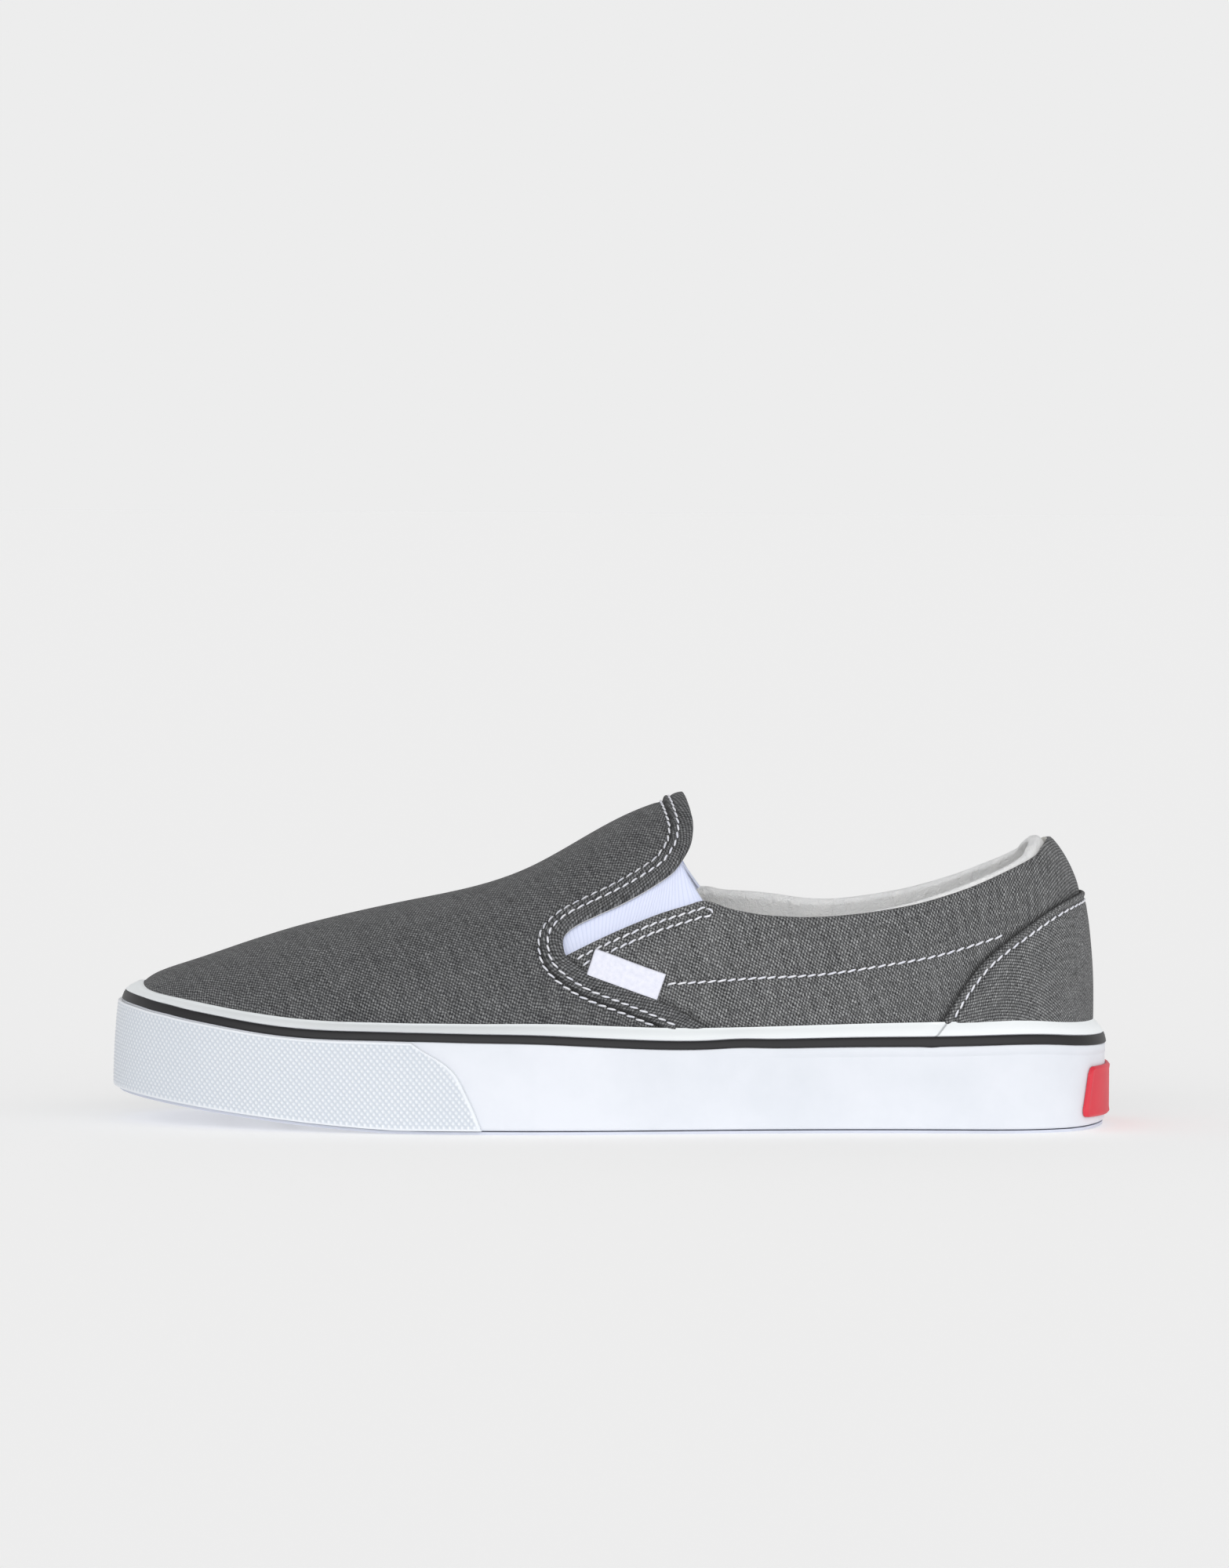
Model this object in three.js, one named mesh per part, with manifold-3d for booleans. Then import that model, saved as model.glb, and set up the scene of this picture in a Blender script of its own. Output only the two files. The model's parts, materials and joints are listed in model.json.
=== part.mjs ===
// Low canvas slip-on sneaker for the left foot, as an assembly of separate solids, in millimetres.
// The shoe stands on the floor plane z = 0, toe towards -X, outer side towards -Y, and the origin is on the
// floor below the middle of its length and width.
import * as THREE from 'three';
import { mergeVertices } from 'three/addons/utils/BufferGeometryUtils.js';
import Module from 'manifold-3d';

const wasm = await Module();
wasm.setup();

// Driving dimensions
const LENGTH = 291; // over the toe bumper and the heel patch
const BALL_WIDTH = 104; // over the foxing, at the ball of the foot
const HEEL_WIDTH = 76; // over the foxing, at the heel
const INSTEP_HEIGHT = 95.5; // floor to the top of the vamp's rear edge
const COLLAR_HEIGHT = 84; // floor to the canvas edge at the back of the heel
const TOE_SPRING = 9; // floor to the underside of the toe tip
const HEEL_BEVEL = 0.8; // floor to the underside of the heel's last point
const FOXING_HEIGHT = 32; // of the rubber side tape
const FOXING_THICKNESS = 4.3;
const FOXING_RIM = 0.8; // thickness of the tape at its top edge
const STRIPE_WIDTH = 2.6;
const STRIPE_THICKNESS = 0.6;
const STRIPE_DEPTH = 0.3; // how far the stripe is let into the foxing, on top of its gap
const BUMPER_THICKNESS = 1.1;
const PATCH_THICKNESS = 1.1;
const PATCH_WIDTH = 46; // of the heel patch, along the foxing
const PATCH_HEIGHT = 14.5;
const PATCH_FLARE = 7.6; // how much wider the patch is at its foot than at its top
const PATCH_BASE = 2; // of the heel patch above the foxing's lower edge
const OUTSOLE_LIP = 0.8; // outsole edge that shows below the foxing
const OUTSOLE_LIP_INSET = 0.5;
const DECK_FORE = 9; // thickness of the sole body under the forefoot
const DECK_HEEL = 14; // and under the heel
const TREAD_DEPTH = 1.6;
const TREAD_GROOVE = 2.6;
const TREAD_PITCH = 16;
const TREAD_CHEVRON = 9; // how far each groove's middle lies towards the toe
const TREAD_BORDER = 9;
const INSOLE_THICKNESS = 4;
const INSOLE_CUP = 2; // how far the insole's rim stands above its middle
const CANVAS_THICKNESS = 1.6;
const OVERLAY_THICKNESS = 0.8; // of the vamp facing and the heel panel
const FACING_WIDTH = 7;
const LINING_THICKNESS = 2.6;
const LINING_RISE = 1.9; // how far the lining's edge stands above the canvas
const LINING_DEPTH = 30; // how far the lining reaches down inside
const GORE_THICKNESS = 1.2;
const GORE_LAP = 6; // how far the elastic reaches under the canvas beside it
const TAB_LENGTH = 22;
const TAB_HEIGHT = 6.6;
const TAB_THICKNESS = 0.6;
const TAB_TILT = (21.3 * Math.PI) / 180; // down towards the heel
const TAB_ALONG = 0.5227; // of its front lower corner, as a share of the sole's length
const TAB_UP = 0.4865; // and of the instep height
const MEDIAL_RISE = 1.2; // the collar is cut this much higher on the inner side
const EDGE_ROUND = 0.6; // of the foxing's lower edge
const BUMPER_ROUND = 0.4; // of the toe bumper's long edges
const PATCH_CORNER = 2;
const OVERSHOOT = 20; // how far cutting shapes reach past the shoe
const FIT = 0.3; // gap between pieces that touch

// Worked out from the driving dimensions
const SOLE_HALF = LENGTH / 2 - FIT - Math.max(BUMPER_THICKNESS, PATCH_THICKNESS);
const SOLE_LENGTH = 2 * SOLE_HALF;
const CANVAS_INSET = FOXING_THICKNESS + FIT; // from the foxing's face in to the canvas

// Faceting
const STATIONS = 40; // along the shoe
const LEVELS = 8; // up each side of the canvas

// The outline of the sole, one row for each side. The places are shares of the sole's length, counted from
// the heel, waist is a share of the ball width, and blunt is the exponent of the toe's superellipse.
const OUTLINE = {
  lateral: { sign: -1, heelAt: 0.135, waistAt: 0.34, waist: 0.4, ballAt: 0.615, blunt: 2.25 },
  medial: { sign: 1, heelAt: 0.135, waistAt: 0.38, waist: 0.315, ballAt: 0.675, blunt: 2.45 },
};
const HEEL_BLUNT = 2.35;
const TOE_TIP_OFFSET = 0.065; // of the toe tip towards the inner side, as a share of the ball width

// Heights are shares of the local height, which is COLLAR_HEIGHT behind the first of these places along the
// shoe and INSTEP_HEIGHT in front of the second.
const HEIGHTS = { collar: 0.05, instep: 0.43 };

// Sections of the canvas form. along: share of the sole's length from the heel. ridge: height of the last's
// top line; behind the vamp it is the closed last that the collar is cut from. full: exponent of the wall's
// curve, where 2 is an ellipse and more is boxier.
const SECTIONS = [
  { along: 0.0, ridge: 1.0971, full: 5.8 },
  { along: 0.13, ridge: 1.1138, full: 4.4 },
  { along: 0.25, ridge: 1.0958, full: 2.9 },
  { along: 0.36, ridge: 1.0463, full: 2.4 },
  { along: 0.432, ridge: 0.998, full: 2.2 },
  { along: 0.482, ridge: 0.9445, full: 2.15 },
  { along: 0.532, ridge: 0.862, full: 2.2 },
  { along: 0.582, ridge: 0.777, full: 2.3 },
  { along: 0.631, ridge: 0.7215, full: 2.4 },
  { along: 0.701, ridge: 0.673, full: 2.55 },
  { along: 0.771, ridge: 0.626, full: 2.8 },
  { along: 0.831, ridge: 0.578, full: 3.1 },
  { along: 0.89, ridge: 0.5225, full: 3.7 },
  { along: 0.94, ridge: 0.493, full: 5.2 },
  { along: 1.0, ridge: 0.5, full: 7.0 },
];
// The top line runs from the middle of the heel to the toe tip; spine is a share of the ball width.
const SPINE = [
  { along: 0.0, spine: 0.0 },
  { along: 0.4, spine: 0.012 },
  { along: 0.7, spine: 0.045 },
  { along: 1.0, spine: 0.065 },
];
const HEEL_POLE = 34; // from the back of the canvas to the rear end of the top line
const TOE_POLE = 36; // and from its tip to the front end
const POLE_SOFTNESS = 12;

// The foxing. height and band, the white above the stripe, are shares of the foxing height.
const FOXING = [
  { along: 0.0, height: 0.96, band: 0.131 },
  { along: 0.06, height: 1.012, band: 0.126 },
  { along: 0.14, height: 1.01, band: 0.132 },
  { along: 0.25, height: 0.985, band: 0.122 },
  { along: 0.35, height: 0.96, band: 0.117 },
  { along: 0.45, height: 0.956, band: 0.116 },
  { along: 0.56, height: 0.99, band: 0.1 },
  { along: 0.64, height: 0.988, band: 0.0875 },
  { along: 0.72, height: 0.985, band: 0.079 },
  { along: 0.8, height: 0.95, band: 0.082 },
  { along: 0.87, height: 0.945, band: 0.0875 },
  { along: 0.94, height: 0.962, band: 0.086 },
  { along: 0.975, height: 0.985, band: 0.08 },
  { along: 1.0, height: 0.99, band: 0.08 },
];

// Edges of the canvas in side view. along is a share of the sole's length and up of the local height.
const COLLAR_EDGE = [
  { along: 0.0513, up: 1.0 },
  { along: 0.0758, up: 0.9419 },
  { along: 0.1083, up: 0.8827 },
  { along: 0.14, up: 0.8268 },
  { along: 0.1713, up: 0.7803 },
  { along: 0.2026, up: 0.742 },
  { along: 0.2494, up: 0.7 },
  { along: 0.2965, up: 0.673 },
  { along: 0.3434, up: 0.6659 },
  { along: 0.3747, up: 0.6753 },
  { along: 0.3903, up: 0.6868 },
  { along: 0.4, up: 0.6972 },
  { along: 0.41, up: 0.6991 },
  { along: 0.4216, up: 0.6875 },
  { along: 0.4528, up: 0.6584 },
  { along: 0.484, up: 0.621 },
  { along: 0.5152, up: 0.5788 },
  { along: 0.5463, up: 0.5321 },
];
// The rear edge of the vamp from the bottom of its notch up to the ridge.
const VAMP_EDGE = [
  { along: 0.5472, up: 0.55 },
  { along: 0.5479, up: 0.575 },
  { along: 0.5448, up: 0.597 },
  { along: 0.5308, up: 0.6275 },
  { along: 0.4997, up: 0.6695 },
  { along: 0.4686, up: 0.7186 },
  { along: 0.4443, up: 0.765 },
  { along: 0.4342, up: 0.793 },
  { along: 0.4224, up: 0.8481 },
  { along: 0.4188, up: 0.8898 },
  { along: 0.4188, up: 0.9308 },
  { along: 0.4245, up: 0.9841 },
  { along: 0.429, up: 1.009 },
  { along: 0.436, up: 1.06 },
];
// The vamp's rear edge below the notch, down to the foxing.
const WING_EDGE = [
  { along: 0.391, up: 0.289 },
  { along: 0.412, up: 0.3293 },
  { along: 0.429, up: 0.362 },
  { along: 0.4525, up: 0.395 },
  { along: 0.4837, up: 0.432 },
  { along: 0.515, up: 0.467 },
  { along: 0.5344, up: 0.501 },
  { along: 0.5447, up: 0.5286 },
];
// The front edge of the heel panel, from the foxing up to the back.
const PANEL_EDGE = [
  { along: 0.171, up: 0.3195 },
  { along: 0.1623, up: 0.3755 },
  { along: 0.1438, up: 0.4891 },
  { along: 0.123, up: 0.5882 },
  { along: 0.0984, up: 0.6848 },
  { along: 0.0622, up: 0.7713 },
  { along: 0.0208, up: 0.812 },
  { along: -0.0065, up: 0.82 },
];
// The toe bumper's rear end. along at each height, a share of the foxing height from its lower edge.
const BUMPER_END = [
  { up: 0.0, along: 0.6268 },
  { up: 0.2, along: 0.6353 },
  { up: 0.4, along: 0.6457 },
  { up: 0.53, along: 0.6542 },
  { up: 0.65, along: 0.6702 },
  { up: 0.75, along: 0.6888 },
  { up: 0.82, along: 0.699 },
];
// The rear edge of the elastic in side view, from inside the vamp down to the bottom of the lining.
const GORE_REAR = [
  { along: 0.433, up: 0.8224 },
  { along: 0.4278, up: 0.796 },
  { along: 0.4152, up: 0.7322 },
  { along: 0.4098, up: 0.7026 },
  { along: 0.394, up: 0.6176 },
  { along: 0.387, up: 0.583 },
];

const toX = (along) => SOLE_HALF - along * SOLE_LENGTH;
const toAlong = (x) => (SOLE_HALF - x) / SOLE_LENGTH;
const mix = (a, b, t) => a + (b - a) * t;
const ease = (t) => t * t * (3 - 2 * t);
const clamp01 = (t) => Math.min(1, Math.max(0, t));

// A natural cubic spline through one column of a table, as a function of another; straight beyond its ends.
function spline(table, column, key = 'along') {
  const rows = [...table].sort((a, b) => a[key] - b[key]);
  const k = rows.map((r) => r[key]);
  const v = rows.map((r) => r[column]);
  const n = k.length;
  const bend = new Array(n).fill(0);
  const work = new Array(n).fill(0);
  for (let i = 1; i < n - 1; i++) {
    const ratio = (k[i] - k[i - 1]) / (k[i + 1] - k[i - 1]);
    const p = ratio * bend[i - 1] + 2;
    const jump = (v[i + 1] - v[i]) / (k[i + 1] - k[i]) - (v[i] - v[i - 1]) / (k[i] - k[i - 1]);
    bend[i] = (ratio - 1) / p;
    work[i] = ((6 * jump) / (k[i + 1] - k[i - 1]) - ratio * work[i - 1]) / p;
  }
  for (let i = n - 2; i > 0; i--) bend[i] = bend[i] * bend[i + 1] + work[i];
  bend[0] = 0;
  bend[n - 1] = 0;
  return (at) => {
    let i = 1;
    while (i < n - 1 && at > k[i]) i++;
    const h = k[i] - k[i - 1];
    const b = (at - k[i - 1]) / h;
    const a = 1 - b;
    const line = a * v[i - 1] + b * v[i];
    if (b < 0) return line - ((2 * bend[0] + bend[1]) * h * h * b) / 6;
    if (b > 1) return line + ((bend[n - 2] + 2 * bend[n - 1]) * h * h * (b - 1)) / 6;
    return line + (((a ** 3 - a) * bend[i - 1] + (b ** 3 - b) * bend[i]) * h * h) / 6;
  };
}

const ridgeShare = spline(SECTIONS, 'ridge');
const fullness = spline(SECTIONS, 'full');
const localHeight = (along) => {
  const t = ease(clamp01((along - HEIGHTS.collar) / (HEIGHTS.instep - HEIGHTS.collar)));
  return mix(COLLAR_HEIGHT, INSTEP_HEIGHT, t);
};
const spineShare = spline(SPINE, 'spine');
const foxingShare = spline(FOXING, 'height');
const bandShare = spline(FOXING, 'band');
const bumperEnd = spline(BUMPER_END, 'along', 'up');

// Heights along the shoe
const SPRING_FROM = 0.7; // share of the length where the toe spring starts
const SPRING_POWER = 1.45;
const BEVEL_UNTIL = 0.045;
function soleBottom(x) {
  const toe = Math.max(0, (toAlong(x) - SPRING_FROM) / (1 - SPRING_FROM));
  const heel = Math.max(0, (BEVEL_UNTIL - toAlong(x)) / BEVEL_UNTIL);
  return TOE_SPRING * toe ** SPRING_POWER + HEEL_BEVEL * heel ** 2;
}
const RAMP = { from: 0.3, to: 0.62 }; // the deck falls from heel to forefoot between these shares
function deck(x) {
  const t = ease(clamp01((toAlong(x) - RAMP.from) / (RAMP.to - RAMP.from)));
  return soleBottom(x) + mix(DECK_HEEL, DECK_FORE, t);
}
const foxingBottom = (x) => soleBottom(x) + OUTSOLE_LIP + FIT;
const foxingTop = (x) => soleBottom(x) + FOXING_HEIGHT * foxingShare(toAlong(x));
const stripeTop = (x) => foxingTop(x) - FOXING_HEIGHT * bandShare(toAlong(x));
const stripeBottom = (x) => stripeTop(x) - STRIPE_WIDTH;

// Half of the outline at x, measured from y = 0, on one side and set in by a distance.
function outlineY(x, side, inset) {
  const s = OUTLINE[side];
  const ball = BALL_WIDTH / 2 - inset;
  const waist = s.waist * BALL_WIDTH - inset;
  const heel = HEEL_WIDTH / 2 - inset;
  const end = SOLE_HALF - inset;
  const xHeel = toX(s.heelAt);
  const xWaist = toX(s.waistAt);
  const xBall = toX(s.ballAt);
  const tip = TOE_TIP_OFFSET * BALL_WIDTH * s.sign;
  if (x >= xHeel) {
    const u = Math.min(1, (x - xHeel) / (end - xHeel));
    return s.sign * heel * (1 - u ** HEEL_BLUNT) ** (1 / HEEL_BLUNT);
  }
  if (x <= xBall) {
    const u = Math.min(1, (xBall - x) / (xBall + end));
    return s.sign * (tip + (ball - tip) * (1 - u ** s.blunt) ** (1 / s.blunt));
  }
  // Two cubics, level at heel and ball and smooth at the waist
  const rear = xHeel - xWaist;
  const front = xWaist - xBall;
  const slope = (1.5 * (((waist - heel) / rear) * front + ((ball - waist) / front) * rear)) / (rear + front);
  const [h, from, to, s0, s1, t] =
    x > xWaist
      ? [rear, heel, waist, 0, slope, (xHeel - x) / rear]
      : [front, waist, ball, slope, 0, (xWaist - x) / front];
  const t2 = t * t;
  const t3 = t2 * t;
  const y =
    (2 * t3 - 3 * t2 + 1) * from + (t3 - 2 * t2 + t) * h * s0 + (3 * t2 - 2 * t3) * to + (t3 - t2) * h * s1;
  return s.sign * y;
}

// A point of the outline: station runs from 0 at the heel to 1 at the toe tip, closer together at both ends.
function wall(station, side, inset) {
  const x = (SOLE_HALF - inset) * Math.cos(Math.PI * station);
  return [x, outlineY(x, side, inset)];
}

// The top line's point that the rib from outline place x leans to.
function spinePoint(x, inset) {
  const w = POLE_SOFTNESS;
  const front = -(SOLE_HALF - inset) + TOE_POLE;
  const rear = SOLE_HALF - inset - HEEL_POLE;
  const kept = front + w * Math.log1p(Math.exp((x - front) / w));
  const at = rear - w * Math.log1p(Math.exp((rear - kept) / w));
  return [at, spineShare(toAlong(at)) * BALL_WIDTH];
}

// The canvas form. level runs from 0 at the sole's deck to 1 at the top line; out is the distance outwards.
function form(station, side, level, out = 0) {
  const inset = CANVAS_INSET - out;
  const [x0, y0] = wall(station, side, inset);
  const [x1, y1] = spinePoint(x0, inset);
  const full = fullness(toAlong(x0));
  const angle = (Math.PI / 2) * level ** (full / 2);
  const inward = 1 - Math.cos(angle);
  const upward = Math.sin(angle) ** (2 / full);
  const x = mix(x0, x1, inward);
  const base = deck(x0) + FIT;
  const top = ridgeShare(toAlong(x)) * localHeight(toAlong(x)) + out;
  return [x, mix(y0, y1, inward), mix(base, top, upward)];
}

// The point of the canvas form at height z on one rib.
function formAt(station, side, z, out = 0) {
  let low = 0;
  let high = 1;
  for (let i = 0; i < 30; i++) {
    const mid = (low + high) / 2;
    if (form(station, side, mid, out)[2] < z) low = mid;
    else high = mid;
  }
  return form(station, side, low, out);
}

// Solids
const toGeometry = (positions, index) =>
  new THREE.BufferGeometry()
    .setAttribute('position', new THREE.Float32BufferAttribute(positions, 3))
    .setIndex(index);

function toSolid(geometry) {
  const bare = geometry.clone();
  bare.deleteAttribute('normal');
  bare.deleteAttribute('uv');
  const merged = mergeVertices(bare, 1e-4);
  const corners = merged.index.array;
  const kept = [];
  for (let i = 0; i < corners.length; i += 3) {
    const [a, b, c] = corners.slice(i, i + 3);
    if (a !== b && b !== c && c !== a) kept.push(a, b, c);
  }
  const build = (triVerts) =>
    new wasm.Manifold(
      new wasm.Mesh({
        numProp: 3,
        vertProperties: new Float32Array(merged.attributes.position.array),
        triVerts: new Uint32Array(triVerts),
      }),
    );
  const solid = build(kept);
  return solid.volume() > 0 ? solid : build(kept.reverse());
}

function fromSolid(solid) {
  const mesh = solid.getMesh();
  const positions = [];
  for (let i = 0; i < mesh.numVert; i++) {
    positions.push(...mesh.vertProperties.subarray(i * mesh.numProp, i * mesh.numProp + 3));
  }
  return toGeometry(positions, [...mesh.triVerts]);
}

// A solid through sections, each a closed loop of points. ring joins the last to the first. caps closes
// the ends of a strip, whose loops run out along one face and back along the other. twin splits the quads
// of both faces along the same diagonals, so that shells one in the other keep their gap.
function loft(sections, { ring = false, caps = false, twin = false } = {}) {
  const n = sections[0].length;
  const count = sections.length;
  const index = [];
  for (let i = 0; i < (ring ? count : count - 1); i++) {
    const a = i * n;
    const b = ((i + 1) % count) * n;
    for (let k = 0; k < n; k++) {
      const l = (k + 1) % n;
      if (twin && k >= n / 2) index.push(a + k, b + k, a + l, b + k, b + l, a + l);
      else index.push(a + k, b + k, b + l, a + k, b + l, a + l);
    }
  }
  if (caps) {
    const end = (count - 1) * n;
    for (let k = 0; k < n / 2 - 1; k++) {
      const [p, q, r, s] = [k, k + 1, n - 2 - k, n - 1 - k];
      index.push(p, q, r, p, r, s);
      index.push(end + p, end + r, end + q, end + p, end + s, end + r);
    }
  }
  return toSolid(toGeometry(sections.flat(2), index));
}

// Every place around the shoe: heel, outer side, toe, inner side and back.
function around(steps = STATIONS) {
  const places = [];
  for (let i = 0; i < steps; i++) places.push([i / steps, 'lateral']);
  for (let i = steps; i > 0; i--) places.push([i / steps, 'medial']);
  return places;
}

// A prism along Y, from an outline in side view.
function sidePrism(points, side) {
  const reach = BALL_WIDTH;
  const overlap = FIT; // the two sides' prisms meet past the middle
  const shape = new THREE.Shape(points.map(([x, z]) => new THREE.Vector2(x, z)));
  const geometry = new THREE.ExtrudeGeometry(shape, { depth: reach + overlap, bevelEnabled: false });
  geometry.rotateX(Math.PI / 2);
  geometry.translate(0, side === 'lateral' ? overlap : reach, 0);
  return toSolid(geometry);
}

// Keeps what lies inside a side view outline on both sides of the shoe.
const keepInside = (solid, outline) =>
  solid
    .intersect(sidePrism(outline('lateral'), 'lateral'))
    .add(solid.intersect(sidePrism(outline('medial'), 'medial')));

// A shell between two distances from the canvas form, open below, for stations from first to last.
function shell(outer, inner, { first = 0, last = STATIONS } = {}) {
  const sections = [];
  for (let i = first; i <= last; i++) {
    const face = (out) => {
      const points = [];
      for (let j = 0; j <= LEVELS; j++) points.push(form(i / STATIONS, 'lateral', j / LEVELS, out));
      for (let j = LEVELS - 1; j >= 0; j--) points.push(form(i / STATIONS, 'medial', j / LEVELS, out));
      return points;
    };
    sections.push([...face(outer), ...face(inner).reverse()]);
  }
  return loft(sections, { caps: first > 0 || last < STATIONS, twin: true });
}

const ABOVE = 1.5 * INSTEP_HEIGHT; // clear of everything
const BEHIND = SOLE_HALF + OVERSHOOT;
const TAIL_SLOPE = 0.345; // how steeply the collar's cut climbs behind the edge's last row
const tailHeight = COLLAR_HEIGHT + TAIL_SLOPE * (BEHIND - toX(COLLAR_EDGE[0].along));

// Rows of an edge table as points in side view. The rise fades out towards the back and the notch.
function edge(table, side = 'lateral') {
  const rise = side === 'medial' ? MEDIAL_RISE : 0;
  return table.map((r) => {
    const middle = Math.sin(Math.PI * clamp01((r.along - 0.05) / 0.45));
    return [toX(r.along), r.up * localHeight(r.along) + rise * middle];
  });
}

// Moves a polyline sideways by a distance, to the left of its direction.
function offset(points, distance) {
  return points.map((p, i) => {
    const a = points[Math.max(0, i - 1)];
    const b = points[Math.min(points.length - 1, i + 1)];
    const length = Math.hypot(b[0] - a[0], b[1] - a[1]);
    return [p[0] - ((b[1] - a[1]) / length) * distance, p[1] + ((b[0] - a[0]) / length) * distance];
  });
}

// A finer polyline through the same points
function finer(points, pieces) {
  const curve = new THREE.SplineCurve(points.map(([x, z]) => new THREE.Vector2(x, z)));
  return curve.getSpacedPoints(pieces).map((p) => [p.x, p.y]);
}

const collarLine = (side) => finer(edge(COLLAR_EDGE, side), 28);
const vampLine = () => finer(edge(VAMP_EDGE), 22);

// What is cut out of the closed form: collar, throat and the notches beside the vamp.
function throat(side) {
  const front = vampLine();
  return [
    [BEHIND, tailHeight],
    ...collarLine(side),
    ...front,
    [front.at(-1)[0], ABOVE],
    [BEHIND, ABOVE],
  ];
}

function makeUpper() {
  const closed = shell(0, -CANVAS_THICKNESS);
  return closed
    .subtract(sidePrism(throat('lateral'), 'lateral'))
    .subtract(sidePrism(throat('medial'), 'medial'));
}

// The side view region above the foxing, between two places along the shoe.
function aboveFoxing(from, to, pieces) {
  const low = [];
  for (let i = 0; i <= pieces; i++) {
    const x = mix(from, to, i / pieces);
    low.push([x, foxingTop(Math.min(x, SOLE_HALF)) + FIT]);
  }
  return [...low, [to, ABOVE], [from, ABOVE]];
}

// The facing strip along the vamp's rear edge and wing.
function makeVampFacing() {
  const line = finer([...edge(WING_EDGE), ...edge(VAMP_EDGE)], 30);
  const band = [...line, ...offset(line, FACING_WIDTH).reverse()];
  const layer = shell(FIT + OVERLAY_THICKNESS, FIT, { first: 14, last: 25 });
  const strip = keepInside(layer, () => band);
  const clear = aboveFoxing(line[0][0] - 8 * FACING_WIDTH, line[0][0] + 2 * FACING_WIDTH, 6);
  return keepInside(strip, () => clear);
}

function makeHeelPanel() {
  const line = finer(edge(PANEL_EDGE), 12);
  const region = () => [...line, [BEHIND, line.at(-1)[1]], [BEHIND, 0], [line[0][0], 0]];
  const layer = shell(FIT + OVERLAY_THICKNESS, FIT, { last: 12 });
  const clear = aboveFoxing(line[0][0] - 1, BEHIND, 8);
  return keepInside(keepInside(layer, region), () => clear);
}

const LINING_OUT = -(CANVAS_THICKNESS + FIT);

// The elastic's outline in side view, its rear edge moved back by a distance.
function goreOutline(back = 0) {
  const rear = finer(edge(GORE_REAR), 6).map(([x, z]) => [x + back, z]);
  const notch = toX(VAMP_EDGE[0].along);
  const floor = rear.at(-1)[1];
  const vamp = offset(vampLine(), GORE_LAP).filter(([, z]) => z > floor && z < rear[0][1]);
  return [...rear, [notch - GORE_LAP, floor - 2 * GORE_LAP], ...vamp];
}

function makeCollarLining() {
  const layer = shell(LINING_OUT, LINING_OUT - LINING_THICKNESS, { last: 18 });
  const region = (side) => {
    const top = collarLine(side).map(([x, z]) => [x, z + LINING_RISE]);
    const low = top.map(([x, z]) => [x, z - LINING_RISE - LINING_DEPTH]).reverse();
    return [[BEHIND, tailHeight], ...top, ...low, [BEHIND, low.at(-1)[1]]];
  };
  return keepInside(layer, region)
    .subtract(sidePrism(goreOutline(2 * FIT), 'lateral'))
    .subtract(sidePrism(goreOutline(2 * FIT), 'medial'));
}

function makeGore(side) {
  const layer = shell(LINING_OUT, LINING_OUT - GORE_THICKNESS, { first: 14, last: 25 });
  return layer.intersect(sidePrism(goreOutline(), side));
}

// The rubber side tape, all round, with a shallow channel for the stripe.
function foxingSection(station, side) {
  const at = (inset, height) => {
    const [x, y] = wall(station, side, inset);
    return [x, y, height(x)];
  };
  const [x] = wall(station, side, 0);
  const top = foxingTop(x);
  const floor = deck(x) + FIT;
  const channel = STRIPE_DEPTH + FIT;
  const lean = 0.25 * STRIPE_WIDTH;
  return [
    at(FOXING_THICKNESS, () => foxingBottom(x)),
    at(EDGE_ROUND, () => foxingBottom(x)),
    at(0, () => foxingBottom(x) + 2 * EDGE_ROUND),
    at(0, () => stripeBottom(x)),
    at(channel, () => stripeBottom(x)),
    at(channel + lean, () => stripeTop(x)),
    at(lean, () => stripeTop(x)),
    formAt(station, side, top, FIT + FOXING_RIM),
    formAt(station, side, top, FIT),
    formAt(station, side, mix(floor, top, 0.8), FIT),
    formAt(station, side, mix(floor, top, 0.5), FIT),
    at(FOXING_THICKNESS, () => floor),
  ];
}

const makeFoxing = () => loft(around().map(([s, side]) => foxingSection(s, side)), { ring: true });

function makeStripe() {
  const sections = around().map(([s, side]) => {
    const [x] = wall(s, side, 0);
    const proud = STRIPE_THICKNESS - STRIPE_DEPTH;
    const lean = 0.25 * STRIPE_WIDTH;
    const clear = 0.5 * FIT;
    const low = stripeBottom(x) + clear;
    const high = stripeTop(x) - clear;
    return [
      [...wall(s, side, STRIPE_DEPTH), low],
      [...wall(s, side, -proud), low],
      [...wall(s, side, lean - proud), high],
      [...wall(s, side, lean + STRIPE_DEPTH), high],
    ];
  });
  return loft(sections, { ring: true });
}

// The station where the outline passes a share of the length
const stationAt = (along) => Math.acos(toX(along) / SOLE_HALF) / Math.PI;

function makeToeBumper() {
  const steps = 20;
  const levels = [0, 0.07, 0.5, 0.93, 1];
  const sections = [];
  for (let i = -steps; i <= steps; i++) {
    const side = i < 0 ? 'lateral' : 'medial';
    const place = (share, out) => {
      const end = stationAt(bumperEnd(share * 0.8));
      const station = mix(1, end, Math.abs(i) / steps);
      const [x, y] = wall(station, side, -out);
      return [x, y, mix(foxingBottom(x), stripeBottom(x) - FIT, share)];
    };
    const round = (share) => (share === 0 || share === 1 ? BUMPER_ROUND : 0);
    const outer = levels.map((u) => place(u, FIT + BUMPER_THICKNESS - round(u)));
    const inner = levels.map((u) => place(u, FIT)).reverse();
    sections.push([...outer, ...inner]);
  }
  return loft(sections, { caps: true });
}

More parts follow.
